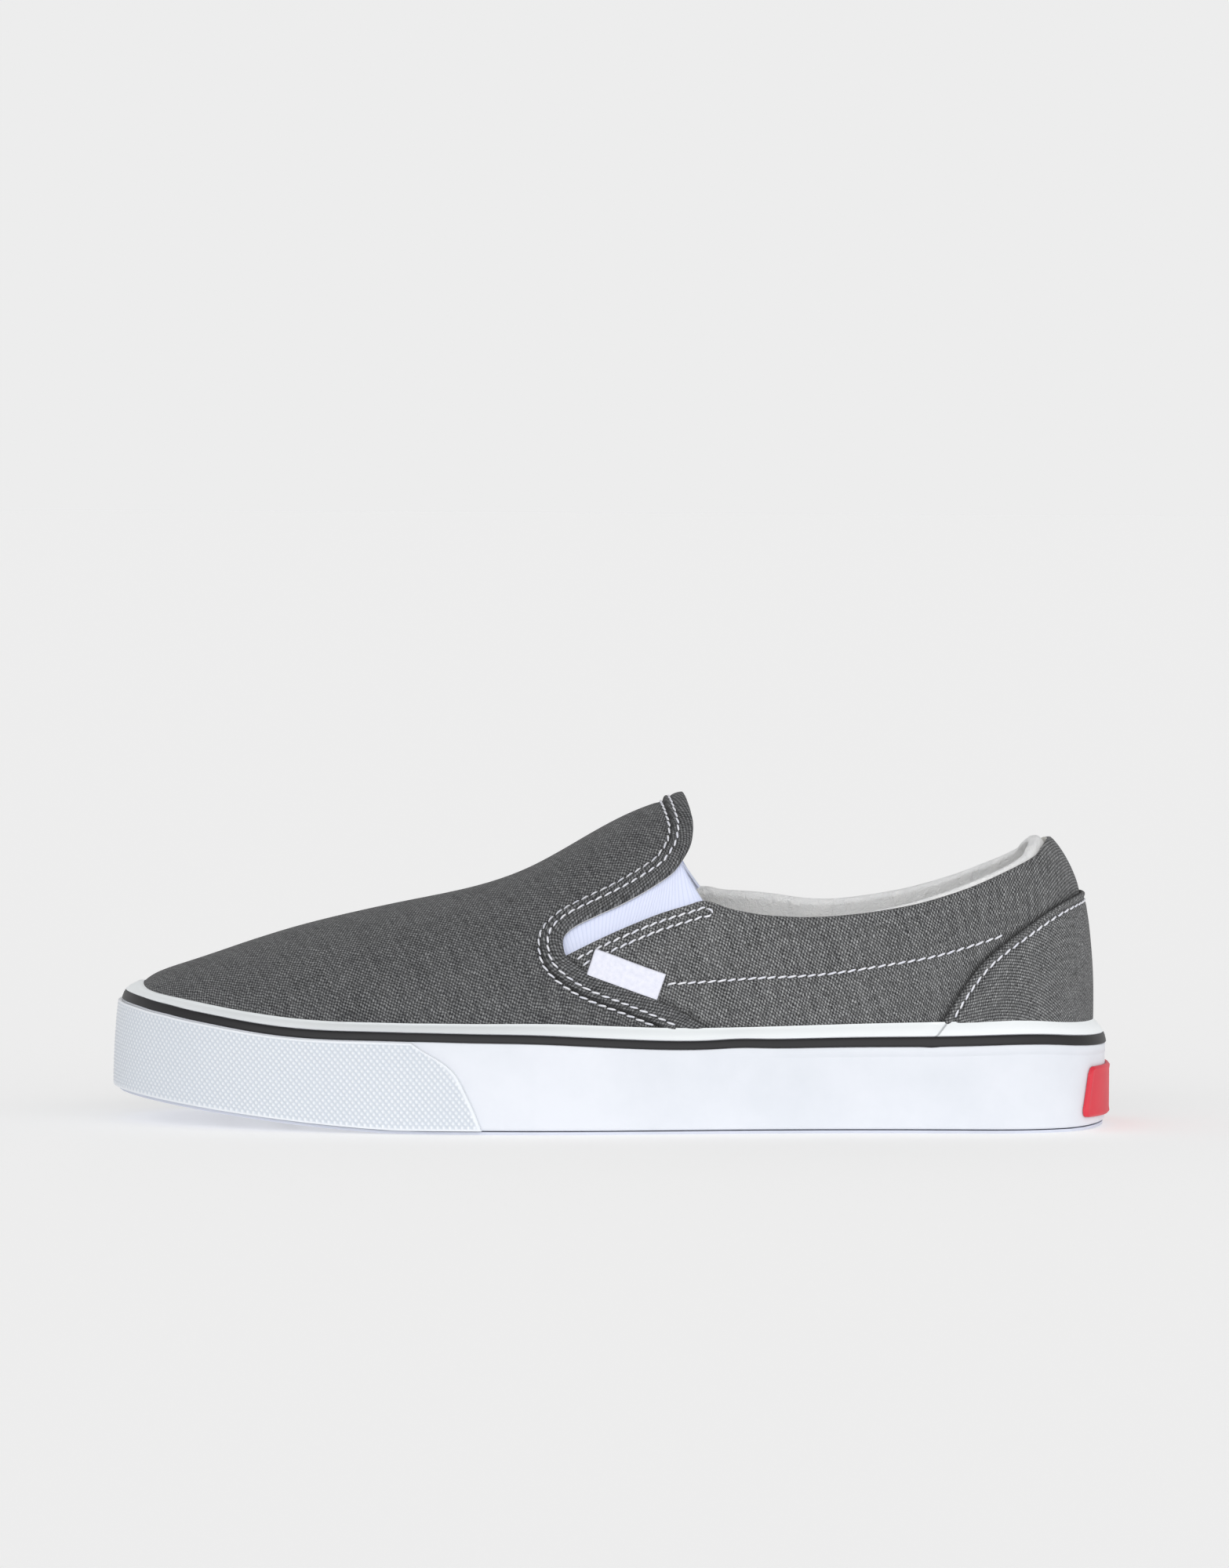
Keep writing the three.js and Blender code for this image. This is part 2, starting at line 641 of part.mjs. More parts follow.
function makeHeelPatch() {
  const steps = 12;
  const radius = HEEL_WIDTH / 2;
  const foot = foxingBottom(SOLE_HALF) + PATCH_BASE;
  const sections = [];
  for (let i = -steps; i <= steps; i++) {
    const share = Math.abs(i) / steps;
    const cut = Math.max(0, (share * PATCH_WIDTH) / 2 - (PATCH_WIDTH / 2 - PATCH_CORNER));
    const trim = PATCH_CORNER - Math.sqrt(Math.max(0, PATCH_CORNER ** 2 - cut ** 2));
    const place = (out, up) => {
      const reach = (share * (PATCH_WIDTH + PATCH_FLARE * (1 - 2 * up / PATCH_HEIGHT) / 2)) / 2;
      const station = Math.acos(1 - (radius / SOLE_HALF) * (1 - Math.cos(reach / radius))) / Math.PI;
      return [...wall(station, i < 0 ? 'lateral' : 'medial', -out), foot + up];
    };
    sections.push([
      place(FIT + PATCH_THICKNESS, trim),
      place(FIT + PATCH_THICKNESS, PATCH_HEIGHT - trim),
      place(FIT, PATCH_HEIGHT - trim),
      place(FIT, trim),
    ]);
  }
  return loft(sections, { caps: true });
}

// The flag sewn into the seam below the notch, on the outer side only.
function makeSideTab() {
  const run = new THREE.Vector2(Math.cos(TAB_TILT), -Math.sin(TAB_TILT));
  const rise = new THREE.Vector2(-run.y, run.x);
  const start = new THREE.Vector2(toX(TAB_ALONG), TAB_UP * INSTEP_HEIGHT);
  const corner = (u, v) => start.clone().addScaledVector(run, u).addScaledVector(rise, v).toArray();
  const outline = [
    corner(0, 0),
    corner(TAB_LENGTH, 0),
    corner(TAB_LENGTH, TAB_HEIGHT),
    corner(0, TAB_HEIGHT),
  ];
  const layer = shell(FIT + TAB_THICKNESS, FIT, { first: 16, last: 23 });
  return layer.intersect(sidePrism(outline, 'lateral'));
}

// A slab across the shoe between two heights: the lower one is straight across, the upper one may vary.
function slab(inset, low, high, columns = 1) {
  const sections = [];
  for (let i = 0; i <= STATIONS; i++) {
    const [x, y0] = wall(i / STATIONS, 'lateral', inset);
    const [, y1] = wall(i / STATIONS, 'medial', inset);
    const top = [];
    for (let j = columns; j >= 0; j--) {
      const across = (2 * j) / columns - 1;
      top.push([x, mix(y0, y1, j / columns), high(x, across)]);
    }
    sections.push([[x, y0, low(x)], [x, y1, low(x)], ...top]);
  }
  return loft(sections);
}

function makeInsole() {
  const inset = CANVAS_INSET + CANVAS_THICKNESS + 2 * FIT;
  const under = (x) => deck(x) + FIT;
  const rim = (x, across) => Math.max(Math.abs(across), Math.abs(x) / (SOLE_HALF - inset)) ** 6;
  return slab(inset, under, (x, across) => under(x) + INSOLE_THICKNESS + INSOLE_CUP * rim(x, across), 6);
}

// One chevron bar, high enough to cut any groove, with its middle towards the toe
function chevron(x) {
  const half = TREAD_GROOVE / 2;
  const reach = BALL_WIDTH / 2;
  const corners = [
    [x + half, -reach],
    [x + half - TREAD_CHEVRON, 0],
    [x + half, reach],
    [x - half, reach],
    [x - half - TREAD_CHEVRON, 0],
    [x - half, -reach],
  ];
  const shape = new THREE.Shape(corners.map(([a, b]) => new THREE.Vector2(a, b)));
  const bar = new THREE.ExtrudeGeometry(shape, { depth: 2 * FOXING_HEIGHT, bevelEnabled: false });
  bar.translate(0, 0, -FOXING_HEIGHT);
  return toSolid(bar);
}

// The outsole: a body inside the foxing, a lip that shows below it, and chevron grooves across the tread.
function makeOutsole() {
  const body = slab(CANVAS_INSET, soleBottom, deck);
  const lip = slab(OUTSOLE_LIP_INSET, soleBottom, (x) => soleBottom(x) + OUTSOLE_LIP);
  const field = slab(TREAD_BORDER, (x) => soleBottom(x) - TREAD_DEPTH, (x) => soleBottom(x) + TREAD_DEPTH);
  const count = Math.floor((SOLE_LENGTH - 2 * TREAD_BORDER) / TREAD_PITCH);
  let sole = body.add(lip);
  for (let i = 0; i < count; i++) {
    const x = ((count - 1) / 2 - i) * TREAD_PITCH;
    sole = sole.subtract(chevron(x).intersect(field));
  }
  return sole;
}

// Materials
const material = (color, roughness) => new THREE.MeshStandardMaterial({ color, roughness, metalness: 0 });
const canvas = material(0x55585a, 0.9);
const whiteRubber = material(0xe9edf2, 0.55);
const blackRubber = material(0x27262a, 0.4);
const redRubber = material(0xd8404c, 0.5);
const elastic = material(0xe3e7fa, 0.8);
const lining = material(0xe4e6e6, 0.6);
const ribbon = material(0xeef0fb, 0.7);
const foam = material(0xd9d4c8, 0.9);
const gum = material(0xdfe3ee, 0.6);

const shoe = new THREE.Group();
function put(name, solid, look) {
  const mesh = new THREE.Mesh(fromSolid(solid), look);
  mesh.name = name;
  shoe.add(mesh);
}

put('outsole', makeOutsole(), gum);
put('foxing', makeFoxing(), whiteRubber);
put('foxing_stripe', makeStripe(), blackRubber);
put('toe_bumper', makeToeBumper(), whiteRubber);
put('heel_patch', makeHeelPatch(), redRubber);
put('insole', makeInsole(), foam);
put('upper', makeUpper(), canvas);
put('vamp_facing', makeVampFacing(), canvas);
put('heel_panel', makeHeelPanel(), canvas);
put('gore_lateral', makeGore('lateral'), elastic);
put('gore_medial', makeGore('medial'), elastic);
put('collar_lining', makeCollarLining(), lining);
put('side_tab', makeSideTab(), ribbon);

export default shoe;
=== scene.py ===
"""Fine model and materials of a low canvas slip-on sneaker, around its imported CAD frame.

Shapes are worked out in millimetres, from the sizes and tables of the solids with a few small
corrections, and go to Blender in metres. The toe points to -X, and the outer side, which faces the
camera, to -Y.
"""

import json
import math

import bmesh
import bpy
import numpy as np
from mathutils import Matrix, Vector
from mathutils.bvhtree import BVHTree

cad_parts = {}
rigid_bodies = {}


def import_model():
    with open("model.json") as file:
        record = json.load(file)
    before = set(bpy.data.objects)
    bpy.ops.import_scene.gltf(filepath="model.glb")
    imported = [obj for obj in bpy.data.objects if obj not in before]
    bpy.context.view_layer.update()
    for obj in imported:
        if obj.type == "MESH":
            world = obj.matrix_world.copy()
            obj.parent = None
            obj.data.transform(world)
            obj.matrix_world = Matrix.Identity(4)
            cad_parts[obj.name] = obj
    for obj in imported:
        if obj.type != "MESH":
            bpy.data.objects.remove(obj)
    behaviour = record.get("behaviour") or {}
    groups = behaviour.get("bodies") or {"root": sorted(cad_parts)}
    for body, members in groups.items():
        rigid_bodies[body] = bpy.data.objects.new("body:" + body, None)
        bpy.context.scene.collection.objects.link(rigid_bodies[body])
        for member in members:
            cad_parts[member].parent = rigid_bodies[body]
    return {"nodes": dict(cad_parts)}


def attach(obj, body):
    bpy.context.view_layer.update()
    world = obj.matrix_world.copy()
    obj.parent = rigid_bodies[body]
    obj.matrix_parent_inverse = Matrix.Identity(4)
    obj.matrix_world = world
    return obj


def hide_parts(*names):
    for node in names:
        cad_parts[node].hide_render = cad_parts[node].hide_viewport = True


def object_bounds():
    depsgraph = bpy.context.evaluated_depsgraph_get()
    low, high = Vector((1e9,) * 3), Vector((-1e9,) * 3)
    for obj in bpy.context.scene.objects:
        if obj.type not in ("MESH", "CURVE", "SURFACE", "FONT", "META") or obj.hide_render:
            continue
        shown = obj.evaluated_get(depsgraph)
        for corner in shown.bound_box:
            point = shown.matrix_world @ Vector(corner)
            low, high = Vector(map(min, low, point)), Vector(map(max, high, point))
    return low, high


for left_over in list(bpy.data.objects):
    bpy.data.objects.remove(left_over)
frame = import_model()
cad_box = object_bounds()
rng = np.random.default_rng(7)

MM = 0.001

# Sizes of the shoe, nearly all as in its solids
LENGTH = (cad_box[1].x - cad_box[0].x) / MM
BALL_WIDTH = 104
HEEL_WIDTH = 76
INSTEP_HEIGHT = 95.5
COLLAR_HEIGHT = 84
TOE_SPRING = 9
HEEL_BEVEL = 0.8
FOXING_HEIGHT = 32
FOXING_THICKNESS = 4.3
FOXING_RIM = 0.8
STRIPE_WIDTH = 2.6
BUMPER_THICKNESS = 1.1
PATCH_THICKNESS = 1.1
PATCH_WIDTH = 47.4
PATCH_HEIGHT = 14.5
PATCH_FLARE = 7.6
PATCH_BASE = 2
PATCH_CORNER = 2
OUTSOLE_LIP = 0.8
DECK_FORE = 9
DECK_HEEL = 14
INSOLE_THICKNESS = 4
INSOLE_CUP = 2
CANVAS_THICKNESS = 1.6
FACING_WIDTH = 6.4
TAB_LENGTH = 21.4
TAB_HEIGHT = 6.0
TAB_THICKNESS = 0.5
TAB_TILT = math.radians(19.4)
TAB_ALONG = 0.5227
TAB_UP = 0.4865
MEDIAL_RISE = 1.2
FIT = 0.3
SOLE_HALF = LENGTH / 2 - FIT - max(BUMPER_THICKNESS, PATCH_THICKNESS)
SOLE_LENGTH = 2 * SOLE_HALF
CANVAS_INSET = FOXING_THICKNESS + FIT
STRIPE_LEAN = 0.25 * STRIPE_WIDTH
FOOT_ROUND = 0.9  # radius of the side tape's foot
RUBBER_COLUMNS = 520  # cross sections of the side tape and its stripe

# Seams, measured over the canvas
INNER_ROW = 4.4  # from the facing's rear edge to its inner row of stitches
OUTER_ROW = 7.05
QUARTER_ROWS = (2.5, 4.8)  # the same for the two rows below the quarter's front edge
PANEL_ROW = 2.3
STITCH_PITCH = 2.9
STITCH_LENGTH = 2.5
THREAD_RADIUS = 0.28
STITCH_SLANT = 0.22  # how far each end of a stitch lies to one side of its row

# Weave and dots, in millimetres
WARP_PITCH = 0.52  # width of the upright threads
WEFT_PITCH = 0.74
KNURL = dict(along=1.75, up=1.7, depth=0.4, step=0.33)  # the bumper's staggered dots
BUMPER_HEIGHT = 20.6

# Lining
LINING_START = 0.408  # share of the length where the lining's front ends lie
LINING_GAP = CANVAS_THICKNESS + 0.15
LINING_HALF = 1.3
LINING_DEPTH = 30

# Tables, nearly all as in the solids: along is a share of the sole's length from the heel
OUTLINE = {
    -1: dict(heel_at=0.135, waist_at=0.34, waist=0.4, ball_at=0.615, blunt=2.25),
    1: dict(heel_at=0.135, waist_at=0.38, waist=0.315, ball_at=0.675, blunt=2.45),
}
HEEL_BLUNT = 2.35
TOE_TIP_OFFSET = 0.065
HEIGHTS = dict(collar=0.05, instep=0.43)


def rows(names, *values):
    """A table with named columns."""
    return [dict(zip(names.split(), row)) for row in values]


SECTIONS = rows(
    "along ridge full",
    (0.0, 1.0971, 5.8), (0.13, 1.1138, 4.4), (0.25, 1.0958, 2.9), (0.36, 1.0463, 2.4),
    (0.432, 0.998, 2.2), (0.482, 0.9445, 2.15), (0.532, 0.862, 2.2), (0.582, 0.777, 2.3),
    (0.631, 0.7215, 2.4), (0.701, 0.673, 2.55), (0.771, 0.626, 2.8), (0.831, 0.578, 3.1),
    (0.89, 0.5225, 3.7), (0.94, 0.493, 5.2), (1.0, 0.5, 7.0),
)
SPINE = rows("along spine", (0.0, 0.0), (0.4, 0.012), (0.7, 0.045), (1.0, 0.065))
HEEL_POLE = 34
TOE_POLE = 36
POLE_SOFTNESS = 12
SPRING_FROM = 0.7
SPRING_POWER = 1.45
BEVEL_UNTIL = 0.045
RAMP = dict(start=0.3, end=0.62)
FOXING = rows(
    "along height band",
    (0.0, 0.96, 0.131), (0.06, 1.012, 0.126), (0.14, 1.01, 0.132), (0.25, 0.985, 0.122),
    (0.35, 0.96, 0.117), (0.45, 0.956, 0.116), (0.56, 0.99, 0.1), (0.64, 0.988, 0.0875),
    (0.72, 0.985, 0.079), (0.8, 0.95, 0.082), (0.87, 0.945, 0.0875), (0.94, 0.962, 0.086),
    (0.975, 0.985, 0.08), (1.0, 0.99, 0.08),
)
COLLAR_EDGE = rows(
    "along up",
    (0.0595, 1.0), (0.0667, 0.9745), (0.0758, 0.9425), (0.1083, 0.8827), (0.14, 0.8268),
    (0.1713, 0.7803), (0.2026, 0.742), (0.2494, 0.7), (0.2965, 0.673), (0.3434, 0.6659),
    (0.3747, 0.6753), (0.3903, 0.6868), (0.4, 0.6972), (0.41, 0.6991), (0.4216, 0.6875),
    (0.4528, 0.6584), (0.484, 0.621), (0.5152, 0.5788), (0.5463, 0.5321),
)
WING_AND_VAMP_EDGE = rows(
    "along up",
    (0.391, 0.289), (0.412, 0.3293), (0.429, 0.362), (0.4525, 0.395), (0.4837, 0.432),
    (0.515, 0.467), (0.5344, 0.501), (0.5447, 0.5286), (0.5472, 0.55), (0.5479, 0.575),
    (0.5448, 0.597), (0.5308, 0.6275), (0.4997, 0.6695), (0.4686, 0.7186), (0.4443, 0.765),
    (0.4342, 0.793), (0.4224, 0.8481), (0.4188, 0.8898), (0.4188, 0.9308), (0.4245, 0.9841),
    (0.429, 1.009), (0.436, 1.06),
)
PANEL_EDGE = rows(
    "along up",
    (0.1779, 0.3195), (0.1682, 0.3755), (0.1481, 0.4891), (0.1254, 0.5882), (0.0915, 0.6848),
    (0.0539, 0.7713), (0.0208, 0.812), (-0.0065, 0.82),
)
BUMPER_END = rows(
    "up along",
    (0.0, 0.6268), (0.2, 0.6353), (0.4, 0.6457), (0.53, 0.6542), (0.65, 0.6702), (0.75, 0.6888),
    (0.82, 0.699),
)
QUARTER_STITCH = rows(
    "along up",
    (0.4439, 0.4471), (0.4018, 0.4546), (0.3596, 0.4679), (0.2899, 0.4926), (0.2203, 0.5433),
    (0.168, 0.5918), (0.0995, 0.6815),
)
TAIL_SLOPE = 0.345
HEEL_LEAN = 1.5  # how far the soft top of the heel leans in
TOE_LEAN = 2.0  # the same for the top of the rubber at the toe
TIP_RISE = 1.7  # how much higher the rubber stands at the toe's tip
INNER_COLLAR = dict(at=0.35, wide=0.05, rise=2.5)  # the collar stands up on the inner side
THROAT_FRONT = 0.5463  # share of the length where collar and vamp meet


# Shape functions


def to_x(along):
    return SOLE_HALF - along * SOLE_LENGTH


def to_along(x):
    return (SOLE_HALF - x) / SOLE_LENGTH


def mix(a, b, t):
    return a + (b - a) * t


def ease(t):
    t = np.clip(t, 0, 1)
    return t * t * (3 - 2 * t)


def hump(distance, width):
    """1 at no distance and almost 0 at twice the width."""
    return np.exp(-((distance / width) ** 2))


def cubic(start, end, leave, arrive, t):
    """A cubic curve between two values, with its slopes at both."""
    bend = (2 * start - 2 * end + leave + arrive) * t**3
    return bend + (3 * end - 3 * start - 2 * leave - arrive) * t**2 + leave * t + start


def joined(*parts):
    """Arrays of one shape, or broadcast to one, stacked along a last axis."""
    return np.stack(np.broadcast_arrays(*parts), -1)


def by_side(side, value):
    """Values of a function of the side's sign, picked for each side of an array."""
    return np.where(np.asarray(side) < 0, value(-1), value(1))


def on_side(side, like):
    return np.full(np.shape(like), side)


def lengths_along(points):
    """Length of a polyline up to each of its points."""
    return np.concatenate([[0], np.cumsum(np.linalg.norm(np.diff(points, axis=0), axis=1))])


def spline(table, column, key="along"):
    """A natural cubic spline through one column of a table, straight beyond its ends."""
    table = sorted(table, key=lambda row: row[key])
    k = np.array([row[key] for row in table], float)
    v = np.array([row[column] for row in table], float)
    gap = np.diff(k)
    slope = np.diff(v) / gap
    n = len(k)
    system = np.eye(n)
    right = np.zeros(n)
    for i in range(1, n - 1):
        system[i, i - 1 : i + 2] = gap[i - 1], 2 * (gap[i - 1] + gap[i]), gap[i]
        right[i] = 6 * (slope[i] - slope[i - 1])
    bend = np.linalg.solve(system, right)

    def value(at):
        at = np.asarray(at, float)
        inside = np.clip(at, k[0], k[-1])
        i = np.clip(np.searchsorted(k, inside) - 1, 0, n - 2)
        h = gap[i]
        b = (inside - k[i]) / h
        a = 1 - b
        curve = a * v[i] + b * v[i + 1]
        curve += ((a**3 - a) * bend[i] + (b**3 - b) * bend[i + 1]) * h * h / 6
        first = slope[0] - bend[1] * gap[0] / 6
        last = slope[-1] + bend[-2] * gap[-1] / 6
        before = np.where(at < k[0], (at - k[0]) * first, 0)
        return curve + before + np.where(at > k[-1], (at - k[-1]) * last, 0)

    return value


ridge_share = spline(SECTIONS, "ridge")
fullness = spline(SECTIONS, "full")
spine_share = spline(SPINE, "spine")
foxing_share = spline(FOXING, "height")
band_share = spline(FOXING, "band")
bumper_end = spline(BUMPER_END, "along", "up")


def local_height(along):
    t = ease((along - HEIGHTS["collar"]) / (HEIGHTS["instep"] - HEIGHTS["collar"]))
    return mix(COLLAR_HEIGHT, INSTEP_HEIGHT, t)


def sole_bottom(x):
    toe = np.maximum(0, (to_along(x) - SPRING_FROM) / (1 - SPRING_FROM))
    heel = np.maximum(0, (BEVEL_UNTIL - to_along(x)) / BEVEL_UNTIL)
    return TOE_SPRING * toe**SPRING_POWER + HEEL_BEVEL * heel**2


def deck(x):
    t = ease((to_along(x) - RAMP["start"]) / (RAMP["end"] - RAMP["start"]))
    return sole_bottom(x) + mix(DECK_HEEL, DECK_FORE, t)


def foxing_bottom(x):
    return sole_bottom(x) + OUTSOLE_LIP + FIT


def settle(x):
    """How far the soft edge of the rubber has settled below the line of its table."""
    return 0.32 + 0.3 * hump(x + 112, 22) - 0.25 * ease((x - 100) / 20)


def foxing_top(x):
    return sole_bottom(x) + FOXING_HEIGHT * foxing_share(to_along(x)) - settle(x)


def stripe_top(x):
    waver = 0.42 * hump(x - 37, 8) - 0.15 * hump(x + 10, 14) + 0.5 * hump(x + 117, 12)
    waver -= 0.45 * ease((-127 - x) / 8)
    return foxing_top(x) + settle(x) - FOXING_HEIGHT * band_share(to_along(x)) + waver


def stripe_bottom(x):
    return stripe_top(x) - STRIPE_WIDTH - 0.35 * ease((x - 30) / 60)


def half_outline(x, sign, inset):
    """The outline's y on one side of the shoe, set in by a distance."""
    s = OUTLINE[sign]
    ball = BALL_WIDTH / 2 - inset
    waist = s["waist"] * BALL_WIDTH - inset
    heel = HEEL_WIDTH / 2 - inset
    end = SOLE_HALF - inset
    x_heel, x_waist, x_ball = to_x(s["heel_at"]), to_x(s["waist_at"]), to_x(s["ball_at"])
    tip = TOE_TIP_OFFSET * BALL_WIDTH * sign
    u = np.clip((x - x_heel) / (end - x_heel), 0, 1)
    at_heel = heel * (1 - u**HEEL_BLUNT) ** (1 / HEEL_BLUNT)
    u = np.clip((x_ball - x) / (x_ball + end), 0, 1)
    at_toe = tip + (ball - tip) * (1 - u ** s["blunt"]) ** (1 / s["blunt"])
    rear = x_heel - x_waist
    front = x_waist - x_ball
    slope = 1.5 * ((waist - heel) / rear * front + (ball - waist) / front * rear) / (rear + front)
    behind = cubic(heel, waist, 0, rear * slope, (x_heel - x) / rear)
    ahead = cubic(waist, ball, front * slope, 0, (x_waist - x) / front)
    middle = np.where(x > x_waist, behind, ahead)
    return sign * np.where(x >= x_heel, at_heel, np.where(x <= x_ball, at_toe, middle))


def wall(station, side, inset):
    """A point of the outline, as x and y. side is -1 for the outer and 1 for the inner side."""
    x = (SOLE_HALF - inset) * np.cos(np.pi * np.asarray(station, float))
    return x, by_side(side, lambda sign: half_outline(x, sign, inset))


def toe_share(x):
    return ease((to_along(x) - 0.9) / 0.1)


def face(station, side, inset, z):
    """A point of the rubber's outer face, which leans in towards its top at the toe."""
    x = SOLE_HALF * np.cos(np.pi * station)
    rise = np.clip((z - foxing_bottom(x)) / (foxing_top(x) - foxing_bottom(x)), 0, 1)
    px, py = wall(station, side, inset + TOE_LEAN * toe_share(x) * rise**2)
    return joined(px, py, z)


def spine_point(x, inset):
    front = -(SOLE_HALF - inset) + TOE_POLE
    rear = SOLE_HALF - inset - HEEL_POLE
    kept = front + POLE_SOFTNESS * np.logaddexp(0, (x - front) / POLE_SOFTNESS)
    at = rear - POLE_SOFTNESS * np.logaddexp(0, (rear - kept) / POLE_SOFTNESS)
    return at, spine_share(to_along(at)) * BALL_WIDTH


def form(station, side, level, out=0.0):
    """The canvas form: station runs from heel to toe and level from the deck to the top line."""
    inset = CANVAS_INSET - np.asarray(out, float)
    x0, y0 = wall(station, side, inset)
    x1, y1 = spine_point(x0, inset)
    full = fullness(to_along(x0))
    angle = np.pi / 2 * np.clip(level, 0, 1) ** (full / 2)
    inward = 1 - np.cos(angle)
    upward = np.sin(angle) ** (2 / full)
    x = mix(x0, x1, inward)
    base = deck(x0) + FIT
    top = ridge_share(to_along(x)) * local_height(to_along(x)) + out
    z = mix(base, top, upward)
    lean = HEEL_LEAN * ease((z - 42) / 36) * ease((x - 95) / 30)
    return joined(x - lean, mix(y0, y1, inward), z)


def bisect(rising, low, high, like, steps=34):
    """Where a rising function of an array passes zero."""
    low = np.full(np.shape(like), float(low))
    high = np.full(np.shape(like), float(high))
    for _ in range(steps):
        middle = (low + high) / 2
        below = rising(middle) < 0
        low = np.where(below, middle, low)
        high = np.where(below, high, middle)
    return (low + high) / 2


def level_at(station, side, z, out=0.0):
    """The level where one rib passes a height."""
    shape = station + np.asarray(z) * 0
    return bisect(lambda level: form(station, side, level, out)[..., 2] - z, 0, 1, shape)


def rib_at(station, side, z, out=0.0):
    """The form's point at a height on each rib."""
    return form(station, side, level_at(station, side, z, out), out)


def locate(x, z, side):
    """Station and level of the point that side view shows at x and z."""

    def station_for(level):
        return bisect(lambda s: x - form(s, side, level)[..., 0], 0, 1, x, 26)

    level = bisect(lambda l: form(station_for(l), side, l)[..., 2] - z, 0, 1, x, 26)
    return station_for(level), level


def finer(points, pieces):
    """A finer polyline through the same points."""
    p = np.array(points, float)
    t = np.linspace(0, len(p) - 1, pieces + 1)
    i = np.minimum(t.astype(int), len(p) - 2)
    w = (t - i)[:, None]
    before, start, end, after = p[np.maximum(i - 1, 0)], p[i], p[i + 1], p[np.minimum(i + 2, len(p) - 1)]
    return cubic(start, end, (end - before) / 2, (after - start) / 2, w)


def edge(table, side=-1, pieces=160):
    """An edge table as a fine polyline in side view."""
    points = []
    for row in table:
        points.append((to_x(row["along"]), row["up"] * local_height(row["along"])))
    points = finer(points, pieces)
    if side > 0 and table is COLLAR_EDGE:
        along = to_along(points[:, 0])
        middle = MEDIAL_RISE * np.sin(math.pi * np.clip((along - 0.05) / 0.45, 0, 1))
        bulge = INNER_COLLAR["rise"] * hump(along - INNER_COLLAR["at"], INNER_COLLAR["wide"])
        points[:, 1] += middle + bulge
    return points


collar_lines = {side: edge(COLLAR_EDGE, side)[::-1] for side in (-1, 1)}
vamp_line = edge(WING_AND_VAMP_EDGE)
panel_line = edge(PANEL_EDGE)


def collar_z(x, side):
    """Height of the collar's edge in side view."""

    def height(sign):
        line = collar_lines[sign]
        behind = np.maximum(0, x - line[-1, 0]) * TAIL_SLOPE
        return np.interp(x, line[:, 0], line[:, 1]) + behind

    return by_side(side, height)


def vamp_x(z):
    """Place of the vamp's rear edge in side view, at a height."""
    return np.interp(z, vamp_line[:, 1], vamp_line[:, 0])


def panel_z(x):
    below = np.maximum(0, panel_line[0, 0] - x) * 2
    return np.interp(x, panel_line[:, 0], panel_line[:, 1]) - below


def collar_level(station, side):
    """The level where each rib meets the collar's edge."""

    def above(level):
        p = form(station, side, level)
        return p[..., 2] - collar_z(p[..., 0], side)

    return bisect(above, 0, 1, station)


def vamp_station(level, side, ahead=0.0):
    """The station where a line of one level meets the vamp's rear edge, or lies a little ahead of it."""

    def past(station):
        p = form(station, side, level)
        return vamp_x(p[..., 2]) - ahead - p[..., 0]

    return bisect(past, 0.2, 0.9, level)


def slide(station, side, level, direction, distances):
    """Walks over the form from each place in a direction, and gives the places at the distances."""
    step = 1e-4
    stations, levels = [], []
    s, l, gone = np.array(station, float), np.array(level, float), 0.0
    for distance in distances:
        pieces = max(1, int(math.ceil(abs(distance - gone) / 0.8)))
        for _ in range(pieces):
            here = form(s, side, l)
            inward = np.where(l > 0.5, -step, step)
            ds = (form(s + step, side, l) - here) / step
            dl = (form(s, side, l + inward) - here) / inward[..., None]
            a, b, c = (ds * ds).sum(-1), (ds * dl).sum(-1), (dl * dl).sum(-1)
            p, q = (direction * ds).sum(-1), (direction * dl).sum(-1)
            det = a * c - b * b
            u, v = (c * p - b * q) / det, (a * q - b * p) / det
            length = np.linalg.norm(ds * u[..., None] + dl * v[..., None], axis=-1)
            scale = (distance - gone) / pieces / length
            s = s + u * scale
            l = np.clip(l + v * scale, 0, 1)
        gone = distance
        stations.append(s)
        levels.append(l)
    return np.array(stations), np.array(levels)


def distance_to(points, *lines):
    """Distance of each point to the nearest of some polylines, all in three dimensions."""
    flat = points.reshape(-1, 3)
    best = np.full(len(flat), 1e9)
    for line in lines:
        for a, b in zip(line[:-1], line[1:]):
            run = b - a
            t = np.clip(((flat - a) @ run) / max(run @ run, 1e-12), 0, 1)
            best = np.minimum(best, ((flat - a - t[:, None] * run) ** 2).sum(1))
    return np.sqrt(best).reshape(points.shape[:-1])


# Flat pattern of the canvas, for the run of its threads
PATTERN_COLUMNS = 240
PATTERN_ROWS = 120


def pattern_table(side):
    stations = np.linspace(0, 1, PATTERN_COLUMNS + 1)
    s, l = np.meshgrid(stations, np.linspace(0, 1, PATTERN_ROWS + 1), indexing="ij")
    arc = np.array([lengths_along(rib[::-1])[::-1] for rib in form(s, side, l)])
    x0, y0 = wall(stations, side, CANVAS_INSET)
    x1, y1 = spine_point(x0, CANVAS_INSET)
    run = joined(x0 - x1, y0 - y1)
    run /= np.linalg.norm(run, axis=1)[:, None]
    return joined(x1, y1)[:, None] + run[:, None] * arc[..., None]


pattern_tables = {side: pattern_table(side) for side in (-1, 1)}


